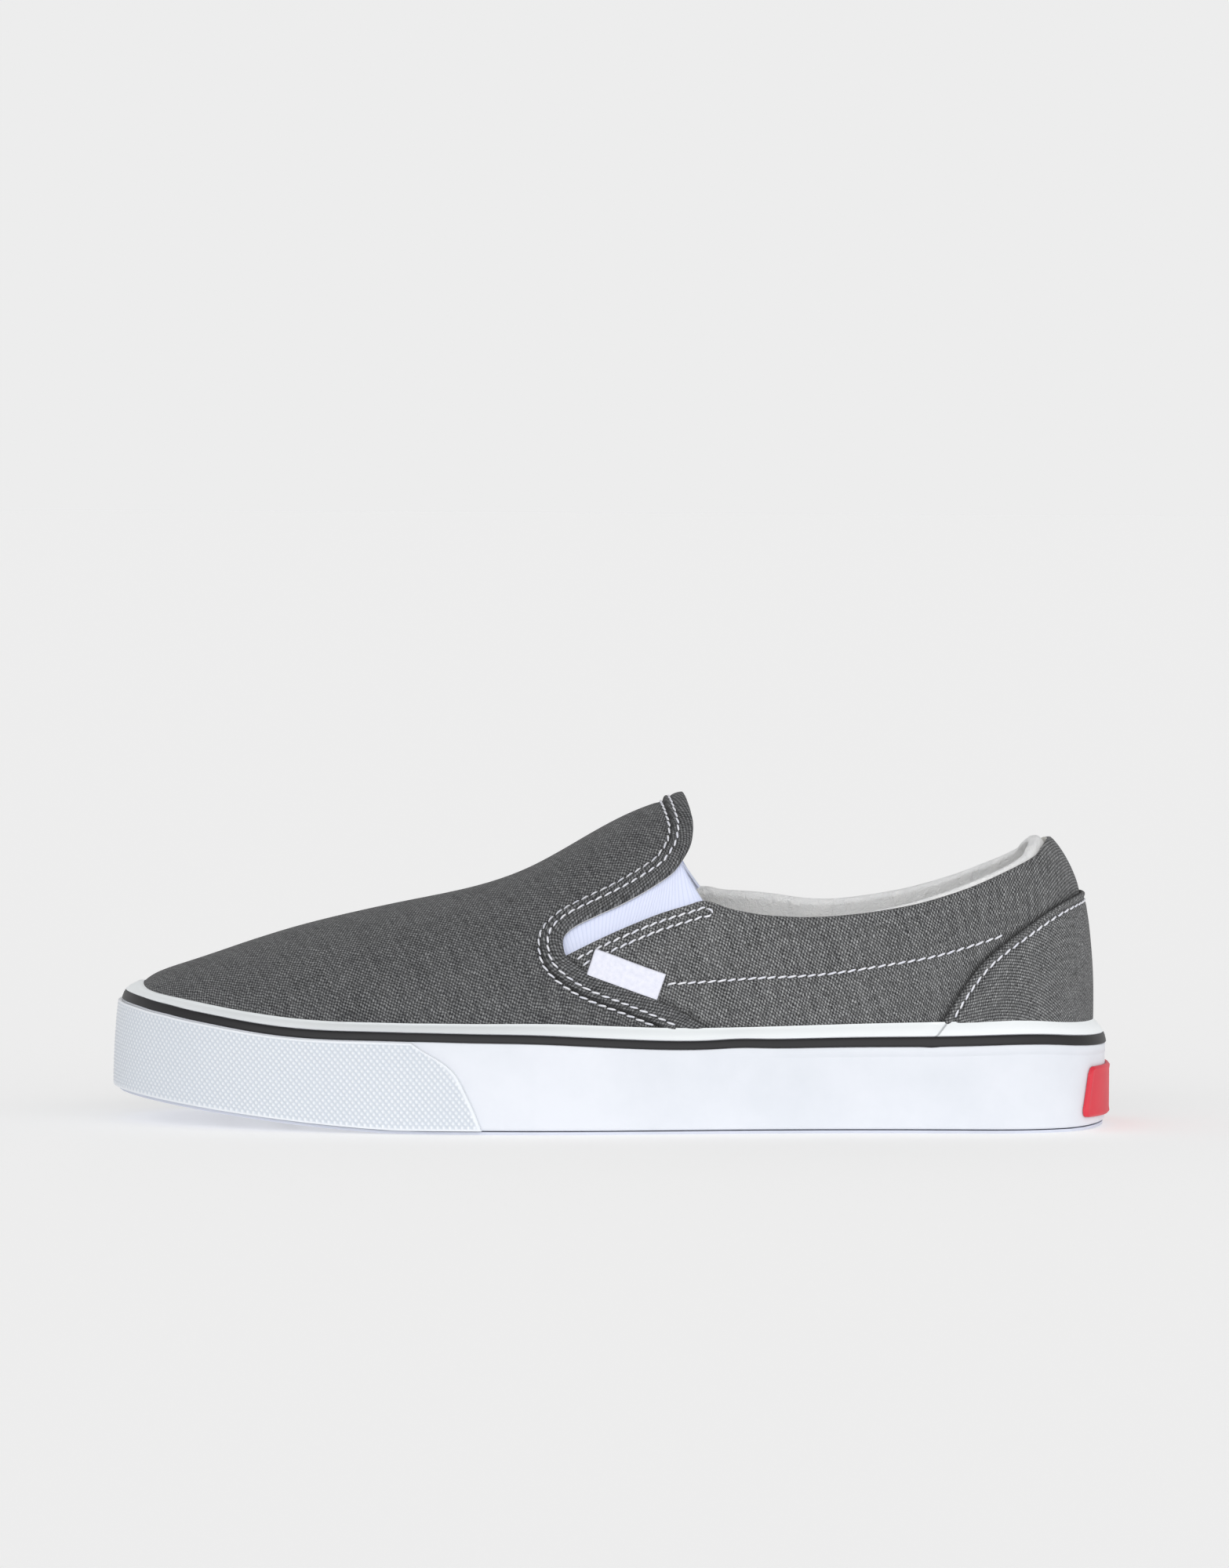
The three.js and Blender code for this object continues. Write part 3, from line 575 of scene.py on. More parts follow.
def pattern(station, side, level):
    """Place in the flat pattern, in millimetres: the form rolled out from its top line."""
    i = np.clip(station * PATTERN_COLUMNS, 0, PATTERN_COLUMNS - 0.001)
    j = np.clip(level * PATTERN_ROWS, 0, PATTERN_ROWS - 0.001)
    i0, j0 = i.astype(int), j.astype(int)
    a, b = (i - i0)[..., None], (j - j0)[..., None]

    def look_up(sign):
        table = pattern_tables[sign]
        low, high = [mix(table[i0, j], table[i0 + 1, j], a) for j in (j0, j0 + 1)]
        return mix(low, high, b)

    return by_side(np.asarray(side)[..., None], look_up)


# Meshes


def put(name, data):
    """A new object, in the scene."""
    piece = bpy.data.objects.new(name, data)
    bpy.context.scene.collection.objects.link(piece)
    return piece


def make_object(name, points, faces, materials, uv=None, material_of=None, seam=None):
    """A smooth mesh object from points in millimetres, its doubled points joined and faces turned out.
    The share given at each point is for its material's painted shade and painted light."""
    mesh = bpy.data.meshes.new(name)
    mesh.from_pydata((np.asarray(points, float) * MM).tolist(), [], [list(map(int, f)) for f in faces])
    if uv is not None:
        corners = np.zeros(len(mesh.loops), int)
        mesh.loops.foreach_get("vertex_index", corners)
        layer = mesh.uv_layers.new(name="pattern")
        layer.data.foreach_set("uv", np.asarray(uv, float)[corners].ravel())
    if seam is not None:
        layer = mesh.attributes.new("seam", "FLOAT", "POINT")
        layer.data.foreach_set("value", np.asarray(seam, np.float32))
    for material in materials:
        mesh.materials.append(material)
    if material_of is not None:
        mesh.polygons.foreach_set("material_index", np.asarray(material_of, int))
    work = bmesh.new()
    work.from_mesh(mesh)
    bmesh.ops.remove_doubles(work, verts=work.verts, dist=2e-6)
    bmesh.ops.dissolve_degenerate(work, edges=work.edges, dist=1e-6)
    bmesh.ops.recalc_face_normals(work, faces=work.faces)
    for face in work.faces:
        face.smooth = True
    work.to_mesh(mesh)
    work.free()
    return put(name, mesh)


def grid_faces(n, m, start=0, flip=False, ring=False):
    i, j = np.meshgrid(np.arange(n if ring else n - 1), np.arange(m - 1), indexing="ij")
    a = start + i * m + j
    b = start + ((i + 1) % n) * m + j
    faces = np.stack([a, b, b + 1, a + 1], -1).reshape(-1, 4)
    return faces[:, ::-1] if flip else faces


def add_piece(piece, slot, *nodes):
    """Puts a piece on the shoe's one body and hides the solids it stands for."""
    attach(piece, "root")
    if nodes:
        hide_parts(*nodes)
    return piece


def shell_piece(name, outer, inner, uv, materials, seam=None):
    """A closed sheet from two grids of points. The second material, if any, is the inner face's."""
    n, m = outer.shape[:2]
    points = np.concatenate([outer.reshape(-1, 3), inner.reshape(-1, 3)])
    flat = uv.reshape(-1, 2)
    faces = [grid_faces(n, m), grid_faces(n, m, n * m, flip=True)]
    border = [i * m for i in range(n)] + [(n - 1) * m + j for j in range(1, m)]
    border += [i * m + m - 1 for i in range(n - 2, -1, -1)] + list(range(m - 2, 0, -1))
    border = np.array(border)
    following = np.roll(border, -1)
    faces.append(np.stack([border, border + n * m, following + n * m, following], -1))
    counts = [len(f) for f in faces]
    index = np.repeat([0, len(materials) - 1, 0], counts)
    if seam is not None:
        seam = np.tile(np.broadcast_to(seam, (n, m)).ravel(), 2)
    return make_object(name, points, np.concatenate(faces), materials, np.tile(flat, (2, 1)), index, seam)


def loft_piece(name, loops, materials, uv=None, ring=False, seam=None):
    """A solid through closed loops of points, joined in a ring or capped at both ends."""
    n, k = loops.shape[:2]
    closed = np.concatenate([loops, loops[:, :1]], axis=1)
    if uv is None:
        across = np.array([lengths_along(loop) for loop in closed])
        uv = joined(lengths_along(closed[:, 0])[:, None], across)
    faces = list(grid_faces(n, k + 1, ring=ring))
    if not ring:
        faces.append(list(range(k)))
        faces.append([(n - 1) * (k + 1) + i for i in range(k - 1, -1, -1)])
    if seam is not None:
        seam = np.tile(np.append(seam, seam[0]), n)
    return make_object(name, closed.reshape(-1, 3), faces, materials, uv.reshape(-1, 2), seam=seam)


def wall_out(distance, low, high, radius):
    """Outer and inner offsets of a sheet whose edge is rounded, at a distance from the edge."""
    t = np.clip(distance / radius, 0, 1)
    reach = np.sqrt(1 - (1 - t) ** 2) * (high - low) / 2
    return (low + high) / 2 + reach, (low + high) / 2 - reach


def sharpen(piece, degrees):
    """Keeps edges over an angle crisp under smooth shading."""
    piece.data.set_sharp_from_angle(angle=math.radians(degrees))
    return piece


# Materials


class Look:
    """A material under construction, with short calls for its nodes."""

    def __init__(self, name, **shader):
        self.material = bpy.data.materials.new(name)
        self.material.use_nodes = True
        self.tree = self.material.node_tree
        self.shader = self.tree.nodes["Principled BSDF"]
        self.set(self.shader, shader)

    def set(self, node, values):
        for key, value in values.items():
            name = key.replace("_", " ") if isinstance(key, str) else key
            socket = node.inputs[name]
            if isinstance(value, bpy.types.NodeSocket):
                self.tree.links.new(value, socket)
            else:
                socket.default_value = value

    def node(self, kind, values=None, **settings):
        made = self.tree.nodes.new("ShaderNode" + kind)
        for key, value in settings.items():
            setattr(made, key, value)
        self.set(made, values or {})
        return made

    def math(self, operation, a, b=0.0, c=0.0, clamp=False):
        return self.node("Math", {0: a, 1: b, 2: c}, operation=operation, use_clamp=clamp).outputs[0]

    def times(self, a, b, clamp=False):
        return self.math("MULTIPLY", a, b, clamp=clamp)

    def plus(self, a, b, clamp=False):
        return self.math("ADD", a, b, clamp=clamp)

    def wave(self, value, pitch=1.0):
        """A sine whose half waves are each one pitch long."""
        return self.math("SINE", self.times(value, math.pi / pitch))

    def rib(self, value, pitch):
        return self.math("ABSOLUTE", self.wave(value, pitch))

    def mix(self, share, a, b, blend="MIX"):
        made = self.node("Mix", data_type="RGBA", blend_type=blend)
        self.set(made, {0: share, 6: a, 7: b})
        return made.outputs[2]

    def blend(self, share, dark, light):
        return self.mix(share, colour(dark), colour(light))

    def noise(self, vector, scale, detail=3.0, roughness=0.55, kind="3D"):
        values = {"Vector": vector, "Scale": scale, "Detail": detail, "Roughness": roughness}
        return self.node("TexNoise", values, noise_dimensions=kind).outputs[0]

    def pair(self, x, y):
        return self.node("CombineXYZ", {0: x, 1: y}).outputs[0]

    def parts(self, vector):
        return self.node("SeparateXYZ", {0: vector}).outputs

    def white(self, x, y):
        return self.node("TexWhiteNoise", {"Vector": self.pair(x, y)}, noise_dimensions="2D").outputs[0]

    def ramp(self, value, low, high, start=0.0, end=1.0):
        values = {"Value": value, "From Min": low, "From Max": high, "To Min": start, "To Max": end}
        return self.node("MapRange", values).outputs[0]

    def bump(self, height, distance, strength=0.6, below=None):
        values = {"Height": height, "Distance": distance, "Strength": strength}
        if below is not None:
            values["Normal"] = below
        return self.node("Bump", values).outputs[0]

    def placed(self, vector, scale, turn=0.0):
        values = {"Vector": vector, "Scale": scale, "Rotation": (0, 0, turn)}
        return self.node("Mapping", values).outputs[0]

    def place(self, turn=0.0, scale=1.0):
        """Place in the flat pattern, in millimetres, turned by degrees and scaled."""
        uv = self.node("UVMap", uv_map="pattern").outputs[0]
        return self.placed(uv, (scale, scale, scale), math.radians(turn))

    def position(self):
        return self.node("TexCoord").outputs["Object"]

    # Each point's share of painted light and shade, as the materials use it.
    def seam(self):
        return self.node("Attribute", attribute_name="seam").outputs["Fac"]

    def done(self, base, height, distance, strength=0.6, below=None):
        """The material, with its colour and its last bump."""
        normal = self.bump(height, distance, strength, below)
        self.set(self.shader, {"Base Color": base, "Normal": normal})
        return self.material


def colour(code):
    """A linear colour with alpha from a hex code."""
    parts = [int(code[i : i + 2], 16) / 255 for i in (0, 2, 4)]
    return tuple(p / 12.92 if p <= 0.04045 else ((p + 0.055) / 1.055) ** 2.4 for p in parts) + (1.0,)


def canvas_look(name, turn=0.0, dark="28292b", light="979899", tint="86837a"):
    """Plain weave: light upright threads pass over and under dark ones, all a little uneven, with painted
    shade in the weave's hollows and, by each point's share, along seams and under stitches.
    """
    look = Look(name, Roughness=0.95, Sheen_Weight=0.06, Sheen_Roughness=0.6)
    place = look.place(turn)
    waver = look.noise(place, 0.35, 2.0, kind="2D")
    place = look.node("VectorMath", {0: place, 1: look.pair(waver, waver)}).outputs[0]
    grid = look.placed(place, (1 / WARP_PITCH, 1 / WEFT_PITCH, 1))
    u, v = look.parts(grid)[:2]
    column, row = look.math("FLOOR", u), look.math("FLOOR", v)
    product = look.times(look.wave(u), look.wave(v))
    over = look.ramp(product, -0.25, 0.25)
    crown = look.math("POWER", look.math("ABSOLUTE", product), 0.5)
    slub = look.noise(look.placed(grid, (0.8, 0.05, 1)), 1.0, 2.0, kind="2D")
    tone = look.times(over, look.ramp(look.white(column, row), 0.0, 1.0, 0.35, 0.85))
    tone = look.plus(tone, look.times(look.white(column, 11.5), 0.05))
    tone = look.plus(tone, look.times(look.white(row, 47.5), 0.06))
    tone = look.plus(tone, look.ramp(slub, 0.3, 0.7, -0.06, 0.12))
    # Painted shade: darker in the weave's hollows, lighter on the threads' crowns.
    tone = look.times(tone, look.ramp(crown, 0.0, 0.8, 0.55, 1.05), clamp=True)
    fleck = look.ramp(look.white(row, column), 0.6, 1.0, 0.0, 0.3)
    tinted = look.mix(fleck, look.blend(tone, dark, light), colour(tint), "SOFT_LIGHT")
    cloud = look.noise(look.position(), 38.0)
    # Painted shade along seams, beside edges and under stitches, by each point's share.
    shade = look.ramp(look.seam(), 0.0, 1.0, 1.0, 0.22)
    shade = look.times(look.ramp(cloud, 0.3, 0.7, 0.94, 1.04), shade)
    grey = look.node("CombineColor", {0: shade, 1: shade, 2: shade}).outputs[0]
    fuzz = look.noise(place, 4.5, 2.0, kind="2D")
    height = look.plus(crown, look.times(fuzz, 0.3))
    return look.done(look.mix(1.0, tinted, grey, "MULTIPLY"), height, 0.0002, 0.7)


def painted_joint_shade(look):
    """Painted shade: a thin dark slanted line for the crease where the tape's ends overlap, high on the
    outer side.
    """
    x, y, z = look.parts(look.position())
    slant = look.math("SUBTRACT", x, look.math("MULTIPLY_ADD", z, 0.82, 0.0706))
    line = look.ramp(look.math("ABSOLUTE", slant), 0.0001, 0.0005, 1.0, 0.0)
    outer_side = look.math("LESS_THAN", y, 0.0)
    return look.times(line, look.times(outer_side, look.math("GREATER_THAN", z, 0.0262)))


def rubber_look(name, code, shade, roughness=0.45, painted_light_colour=None, grain=0.00004, joint=False):
    """Moulded rubber with faint smudges and a dull bloom. A second colour, if given, is painted in by each
    point's share: lighter as painted light on the foxing's band, grey as painted shade in the bumper's dot
    valleys.
    """
    look = Look(name)
    position = look.position()
    below = None
    smudge = look.noise(position, 26.0, 5.0, 0.6)
    speck = look.noise(position, 420.0, 2.0, 0.6)
    base = look.blend(look.ramp(smudge, 0.42, 0.72), code, shade)
    if painted_light_colour:
        base = look.mix(look.seam(), base, colour(painted_light_colour))
    if joint:
        # Painted shade: the overlap's crease drawn as a thin dark line, with a small bump.
        line = painted_joint_shade(look)
        base = look.mix(look.times(line, 0.5), base, colour("60656f"))
        below = look.bump(look.math("SUBTRACT", 1.0, line), 0.0003, 0.8)
    look.set(look.shader, {"Roughness": look.ramp(smudge, 0.3, 0.7, roughness - 0.06, roughness + 0.08)})
    return look.done(base, speck, grain, below=below)


def lining_look(name):
    """Soft white leathercloth with a fine pebble grain and many short creases, with painted shade in the
    creases and soft wrinkles.
    """
    look = Look(name, Roughness=0.5, Sheen_Weight=0.05)
    place = look.place()
    bend = look.noise(place, 0.3, kind="2D")
    values = {0: look.pair(bend, bend), 1: (9, 5, 0), 2: place}
    bent = look.node("VectorMath", values, operation="MULTIPLY_ADD").outputs[0]
    flat = dict(voronoi_dimensions="2D")
    long = look.placed(bent, (0.34, 0.22, 1), 0.6)
    crack = look.node("TexVoronoi", {"Vector": long}, feature="DISTANCE_TO_EDGE", **flat).outputs[0]
    cells = look.node("TexVoronoi", {"Vector": place, "Scale": 1.7}, **flat).outputs[0]
    crease = look.ramp(crack, 0.0, 0.2)
    soft = look.noise(look.placed(bent, (0.16, 0.09, 1)), 1.0, kind="2D")
    # Painted shade: darker in the creases and the soft wrinkles.
    share = look.times(look.ramp(crease, 0.0, 1.0, 0.8, 1.0), look.ramp(soft, 0.25, 0.6, 0.78, 1.0))
    below = look.bump(crease, 0.00022, 0.5, look.bump(soft, 0.0015))
    return look.done(look.blend(share, "d6dadf", "fbfbfb"), cells, 0.0001, 0.5, below)


def elastic_look(name):
    """Ribbed elastic webbing, its ribs across the pull."""
    look = Look(name, Roughness=0.75, Sheen_Weight=0.1)
    u, v = look.parts(look.place())[:2]
    rib, cross = look.rib(u, 1.15), look.rib(v, 0.4)
    # Painted shade: darker down between the ribs.
    tone = look.times(look.ramp(rib, 0.0, 0.5, 0.55, 1.0), look.ramp(cross, 0.0, 0.6, 0.85, 1.0))
    height = look.plus(look.math("POWER", rib, 0.6), look.times(cross, 0.2))
    return look.done(look.blend(tone, "c6cfee", "e3e9ff"), height, 0.00016)


def ribbon_look(name):
    """Fine woven ribbon."""
    look = Look(name, Roughness=0.6, Sheen_Weight=0.1)
    place = look.place()
    u, v = look.parts(place)[:2]
    tone = look.ramp(look.noise(place, 0.8, 2.0), 0.3, 0.7)
    height = look.plus(look.rib(v, 0.28), look.times(look.rib(u, 0.2), 0.3))
    return look.done(look.blend(tone, "e2e4f2", "eff0fb"), height, 0.00008)


def thread_look(name):
    """Twisted white sewing thread."""
    look = Look(name, Roughness=0.7, Sheen_Weight=0.1)
    u, v = look.parts(look.place())[:2]
    tone = look.ramp(look.noise(look.position(), 600.0, 2.0), 0.3, 0.7)
    return look.done(look.blend(tone, "e6e8f4", "fbfbff"), look.wave(look.plus(u, v), 0.16), 0.00006)


def cloth_look(name, dark, light, pitch=0.6):
    """Off-white cotton twill, as inside the shoe."""
    look = Look(name, Roughness=0.9, Sheen_Weight=0.1)
    u, v = look.parts(look.place(scale=1 / pitch))[:2]
    twill = look.wave(look.plus(u, v))
    tone = look.noise(look.position(), 90.0, 4.0)
    # Painted shade: a little darker in the twill's grooves.
    share = look.plus(look.times(tone, 0.7), look.times(twill, 0.15), clamp=True)
    return look.done(look.blend(share, dark, light), twill, 0.00015)


def floor_look(name):
    """Plain pale studio paper."""
    look = Look(name, Roughness=1.0)
    grain = look.noise(look.position(), 300.0)
    paper = look.ramp(grain, 0.0, 1.0, FLOOR_TONE - 0.01, FLOOR_TONE + 0.01)
    look.set(look.shader, {"Specular IOR Level": 0.0, "Base Color": paper})
    look.set(look.shader, {"Emission Color": (1, 1, 1, 1), "Emission Strength": FLOOR_GLOW})
    return look.material


# Camera, light and floor

PICTURE = (1567, 2000)
CAMERA_DISTANCE = 2200
CAMERA_ELEVATION = 3.5
CAMERA_ROLL = math.radians(0.3)
AIM_HEIGHT = 45
PIXELS_PER_MM = 4.372  # at the aim point
AXIS_PIXEL = (779.2, 1233.7)  # where the lens axis meets the picture
BACKGROUND = 0.847
ZENITH = 0.3  # the studio is dimmer overhead than at the horizon
FADE = (0.3, 0.9)  # heights on the sky between which it dims
FLOOR_TONE = 0.7
FLOOR_GLOW = 0.376
FLOOR_REACH = 200  # in metres


def towards(azimuth, elevation):
    """The direction of a place in the sky, by angles in degrees from the camera's side and the floor."""
    a, e = math.radians(azimuth), math.radians(elevation)
    return Vector((math.sin(a) * math.cos(e), -math.cos(a) * math.cos(e), math.sin(e)))


def make_camera():
    camera = bpy.data.cameras.new("camera")
    long_side = max(PICTURE)
    camera.sensor_width = 36
    camera.lens = PIXELS_PER_MM * CAMERA_DISTANCE * camera.sensor_width / long_side
    camera.shift_x = (PICTURE[0] / 2 - AXIS_PIXEL[0]) / long_side
    camera.shift_y = (AXIS_PIXEL[1] - PICTURE[1] / 2) / long_side
    camera.clip_start, camera.clip_end = 0.1, 1000
    piece = put("camera", camera)
    back = towards(0, CAMERA_ELEVATION)
    aim = Vector((0, 0, AIM_HEIGHT * MM))
    turn = back.to_track_quat("Z", "Y").to_matrix().to_4x4() @ Matrix.Rotation(CAMERA_ROLL, 4, "Z")
    piece.matrix_world = Matrix.Translation(aim + back * CAMERA_DISTANCE * MM) @ turn
    bpy.context.scene.camera = piece


def make_sun(name, azimuth, elevation, spread, strength):
    sun = bpy.data.lights.new(name, "SUN")
    sun.energy = strength
    sun.angle = math.radians(spread)
    piece = put(name, sun)
    piece.rotation_mode = "QUATERNION"
    piece.rotation_quaternion = towards(azimuth, elevation).to_track_quat("Z", "Y")


def make_stage():
    scene = bpy.context.scene
    scene.view_settings.view_transform = "Standard"
    world = bpy.data.worlds.new("studio")
    world.use_nodes = True
    nodes, links = world.node_tree.nodes, world.node_tree.links
    parts = nodes.new("ShaderNodeSeparateXYZ")
    links.new(nodes.new("ShaderNodeTexCoord").outputs["Generated"], parts.inputs[0])
    fade = nodes.new("ShaderNodeMapRange")
    for i, value in enumerate((*FADE, BACKGROUND, ZENITH), 1):
        fade.inputs[i].default_value = value
    links.new(parts.outputs[2], fade.inputs[0])
    links.new(fade.outputs[0], nodes["Background"].inputs[0])
    scene.world = world
    make_sun("key", -15, 14, 60, 0.9)
    make_sun("fill", 35, 10, 80, 1.05)
    corners = np.array([(-1, -1, 0), (1, -1, 0), (1, 1, 0), (-1, 1, 0)]) * FLOOR_REACH / MM
    floor = make_object("floor", corners, [(0, 1, 2, 3)], [floor_look("studio_paper")])


# The shoe's pieces

# Painted light and shade: the vamp takes a darker copy of the one canvas, the quarters and heel panel a
# lighter copy.
shaded_vamp_canvas = canvas_look("shaded_vamp_canvas", -20.0, dark="26272a", light="8d8e8f")
canvas = canvas_look("canvas", -20.0, light="a3a4a5")
strip_canvas = canvas_look("canvas_strip", 45.0, "252628", "88898b")
panel_canvas = canvas_look("canvas_panel", 40.0, light="a3a4a5")
inner_cloth = cloth_look("inner_cloth", "c9c7c0", "e6e5e0")
# Painted light: the foxing's band above the stripe is given a lighter colour, as it faces up and gets less
# light.
white_rubber = rubber_look("white_rubber", "e2e5ec", "d9dde4", painted_light_colour="f9fdff", joint=True)
# Painted shade: grey in the bumper's dot valleys and, half as much, along its rim.
textured_rubber = rubber_look("textured_rubber", "f7f9fc", "eff2f7", 0.3, "c8cfd8")
black_rubber = rubber_look("black_rubber", "0e0d11", "17161a", 0.5)
red_rubber = rubber_look("red_rubber", "dc2f40", "cb2d3e", 0.5)
sole_rubber = rubber_look("outsole_rubber", "d3d7e4", "c7ccd9", 0.6)
lining = lining_look("lining")
elastic = elastic_look("elastic")
ribbon = ribbon_look("ribbon")
thread = thread_look("thread")
insole_cloth = cloth_look("insole_cloth", "c3c0b6", "dedbd1", 0.9)


def vamp_edge(count, ahead=0.0):
    """Places along the vamp's rear edge, from the foxing on the outer side over the instep and down."""
    levels = np.linspace(0, 1, count)
    outer = vamp_station(levels, -1, ahead)
    inner = vamp_station(levels[::-1], 1, ahead)[1:]
    station = np.concatenate([outer, inner])
    level = np.concatenate([levels, levels[::-1][1:]])
    side = np.concatenate([on_side(-1, outer), on_side(1, inner)])
    return station, side, level


def respaced(station, side, level, count):
    """The same line of places, spaced evenly over the shoe."""
    run = lengths_along(form(station, side, level))
    at = np.linspace(0, run[-1], count)
    new_side = side[np.clip(np.searchsorted(run, at), 0, len(side) - 1)]
    return np.interp(at, run, station), new_side, np.interp(at, run, level)


def up_run(station, side, level, step):
    """A short run up the rib through each place."""
    high, low = [form(station, side, np.clip(level + d, 0, 1)) for d in (step, -step)]
    return high - low


def towards_toe(station, side, level):
    """Directions over the form, square to a line of places and towards the toe."""
    points = form(station, side, level)
    run = np.gradient(points, axis=0)
    step = 1e-3
    along = form(station + step, side, level) - points
    normal = np.cross(along, up_run(station, side, level, step))
    across = np.cross(normal, run)
    across /= np.linalg.norm(across, axis=1)[:, None]
    return across * np.sign((across * along).sum(1))[:, None]


def trough(points, rows_of_places, depth, width):
    """Depth of the troughs that rows of stitches pull into the cloth."""
    total = np.zeros(points.shape[:-1])
    for places in rows_of_places:
        total = np.maximum(total, depth * hump(distance_to(points, form(*places)), width))
    return total


edge_places = respaced(*vamp_edge(400), 340)
edge_toe = towards_toe(*edge_places)


def facing_row(distance):
    """Places at a distance ahead of the vamp's rear edge."""
    station, level = slide(*edge_places, edge_toe, [distance])
    return station[0], edge_places[1], level[0]


def out_normals(station, side, level):
    """Outward unit normals of the form at places."""
    step = 1e-3
    fore, aft = [form(np.clip(station + d, 0, 1), side, level) for d in (step, -step)]
    normal = np.cross(up_run(station, side, level, step), fore - aft)
    normal /= np.linalg.norm(normal, axis=-1)[..., None]
    points = form(station, side, level)
    outward = points - points * (0.8, 0, 0) - (0, 0, 35)
    return normal * np.sign((normal * outward).sum(-1))[..., None]


def quarter_front(side, drop, first=THROAT_FRONT - 0.012, last=0.4045):
    """Places at a distance below the quarter's front edge, from the notch to the corner."""
    line = collar_lines[side]
    run = np.gradient(line, axis=0)
    down = np.stack([run[:, 1], -run[:, 0]], -1) / np.linalg.norm(run, axis=1)[:, None]
    moved = line + down * drop
    kept = moved[(moved[:, 0] > to_x(first)) & (moved[:, 0] < to_x(last))]
    station, level = locate(*kept.T, side)
    return station, on_side(side, station), level


def quarter_loop(side):
    """The double row below the quarter's front edge, turned at the corner."""
    upper, lower = [quarter_front(side, drop) for drop in QUARTER_ROWS]
    last, before, below = [np.array([r[0][i], r[2][i]]) for r, i in ((upper, -1), (upper, -3), (lower, -1))]
    step = np.linalg.norm(form(last[0], side, last[1]) - form(before[0], side, before[1]))
    ahead = (last - before) / step * (QUARTER_ROWS[1] - QUARTER_ROWS[0]) * 0.7
    turn = np.radians([30, 60, 90, 120, 150])[:, None]
    arc = (last + below) / 2 + (last - below) / 2 * np.cos(turn) + ahead * np.sin(turn)
    station, level = [np.concatenate([upper[k], arc[:, j], lower[k][::-1]]) for j, k in ((0, 0), (1, 2))]
    return station, on_side(side, station), level


def side_line(table, side, pieces=60):
    """Places of a table's line on one side of the shoe."""
    station, level = locate(*edge(table, side, pieces).T, side)
    return station, on_side(side, station), level


def panel_edge(side, count=150):
    """The heel panel's front edge on one side, from the foxing to the back, as places."""
    station = np.linspace(0, 0.36, count)[::-1]

    def above(level):
        p = form(station, side, level)
        return p[..., 2] - panel_z(p[..., 0])

    return station, on_side(side, station), bisect(above, 0, 1, station)


def panel_stitch(side):
    """Places of the heel panel's row of stitches on one side, ending at the back."""
    places = respaced(*panel_edge(side), 90)
    station, level = slide(*places, -towards_toe(*places), [PANEL_ROW])
    return station[0], places[1], level[0]


inner_row = facing_row(INNER_ROW)
outer_row = facing_row(OUTER_ROW)
facing_edge = form(*facing_row(FACING_WIDTH))
quarter_loops = {side: quarter_loop(side) for side in (-1, 1)}
quarter_rows = {side: side_line(QUARTER_STITCH, side) for side in (-1, 1)}
panel_edges = {side: form(*respaced(*panel_edge(side), 140)) for side in (-1, 1)}
panel_rows = {side: panel_stitch(side) for side in (-1, 1)}


def crumple(points, size, seed):
    """Smooth random heights from a few sine waves, between about -1 and 1."""
    waves = np.random.default_rng(seed)
    total = np.zeros(points.shape[:-1])
    for _ in range(6):
        direction = waves.normal(size=3)
        direction /= np.linalg.norm(direction)
        length = size * waves.uniform(0.7, 1.5)
        total += np.sin(points @ direction * 2 * np.pi / length + waves.uniform(0, 6.3))
    return total / 3


def make_vamp():
    columns, levels = 170, 72
    t = np.linspace(0, 1, columns)
    share = t * (2 - t) * 0.35 + t * 0.65
    level = np.concatenate([np.linspace(0, 1, levels), np.linspace(1, 0, levels)[1:]])
    side = np.concatenate([on_side(-1, range(levels)), on_side(1, range(levels - 1))])
    end = vamp_station(level, side, 3.4)
    s = 1 + (end[:, None] - 1) * share
    l = np.broadcast_to(level[:, None], s.shape)
    g = np.broadcast_to(side[:, None], s.shape)
    points = form(s, g, l)
    dent = trough(points, [outer_row], 0.25, 1.0)
    beside = distance_to(points, facing_edge)
    # Painted shade beside the facing's edge and in the outer row's stitch trough.
    seam = np.maximum(0.9 * hump(beside, 0.75), trough(points, [outer_row], 0.4, 0.7))
    soft = 0.16 * crumple(points, 42, 3) * ease((points[..., 2] - foxing_top(points[..., 0])) / 12)
    outer, inner = [form(s, g, l, deep + soft - dent) for deep in (0.0, -CANVAS_THICKNESS)]
    piece = shell_piece("vamp", outer, inner, pattern(s, g, l), [shaded_vamp_canvas, inner_cloth], seam)
    return add_piece(piece, "canvas", "upper")


def quarter_places(columns=150, levels=56):
    """Grid of places on both quarters, from the outer notch round the heel to the inner one."""
    v = np.linspace(0, 1, levels)
    v = v * (2 - v) * 0.5 + v * 0.5
    parts = []
    for side in (-1, 1):

        def past(station):
            p = form(station, side, v * collar_level(station, side))
            return vamp_x(p[..., 2]) - 3.0 - p[..., 0]

        end = bisect(past, 0.3, 0.7, v, 26)
        t = np.linspace(0, 1, columns)
        s = t[:, None] * end
        parts.append((s, on_side(side, s), v * collar_level(s, side)))
    lateral, medial = parts
    return [np.concatenate([a[::-1], b[1:]]) for a, b in zip(lateral, medial)]


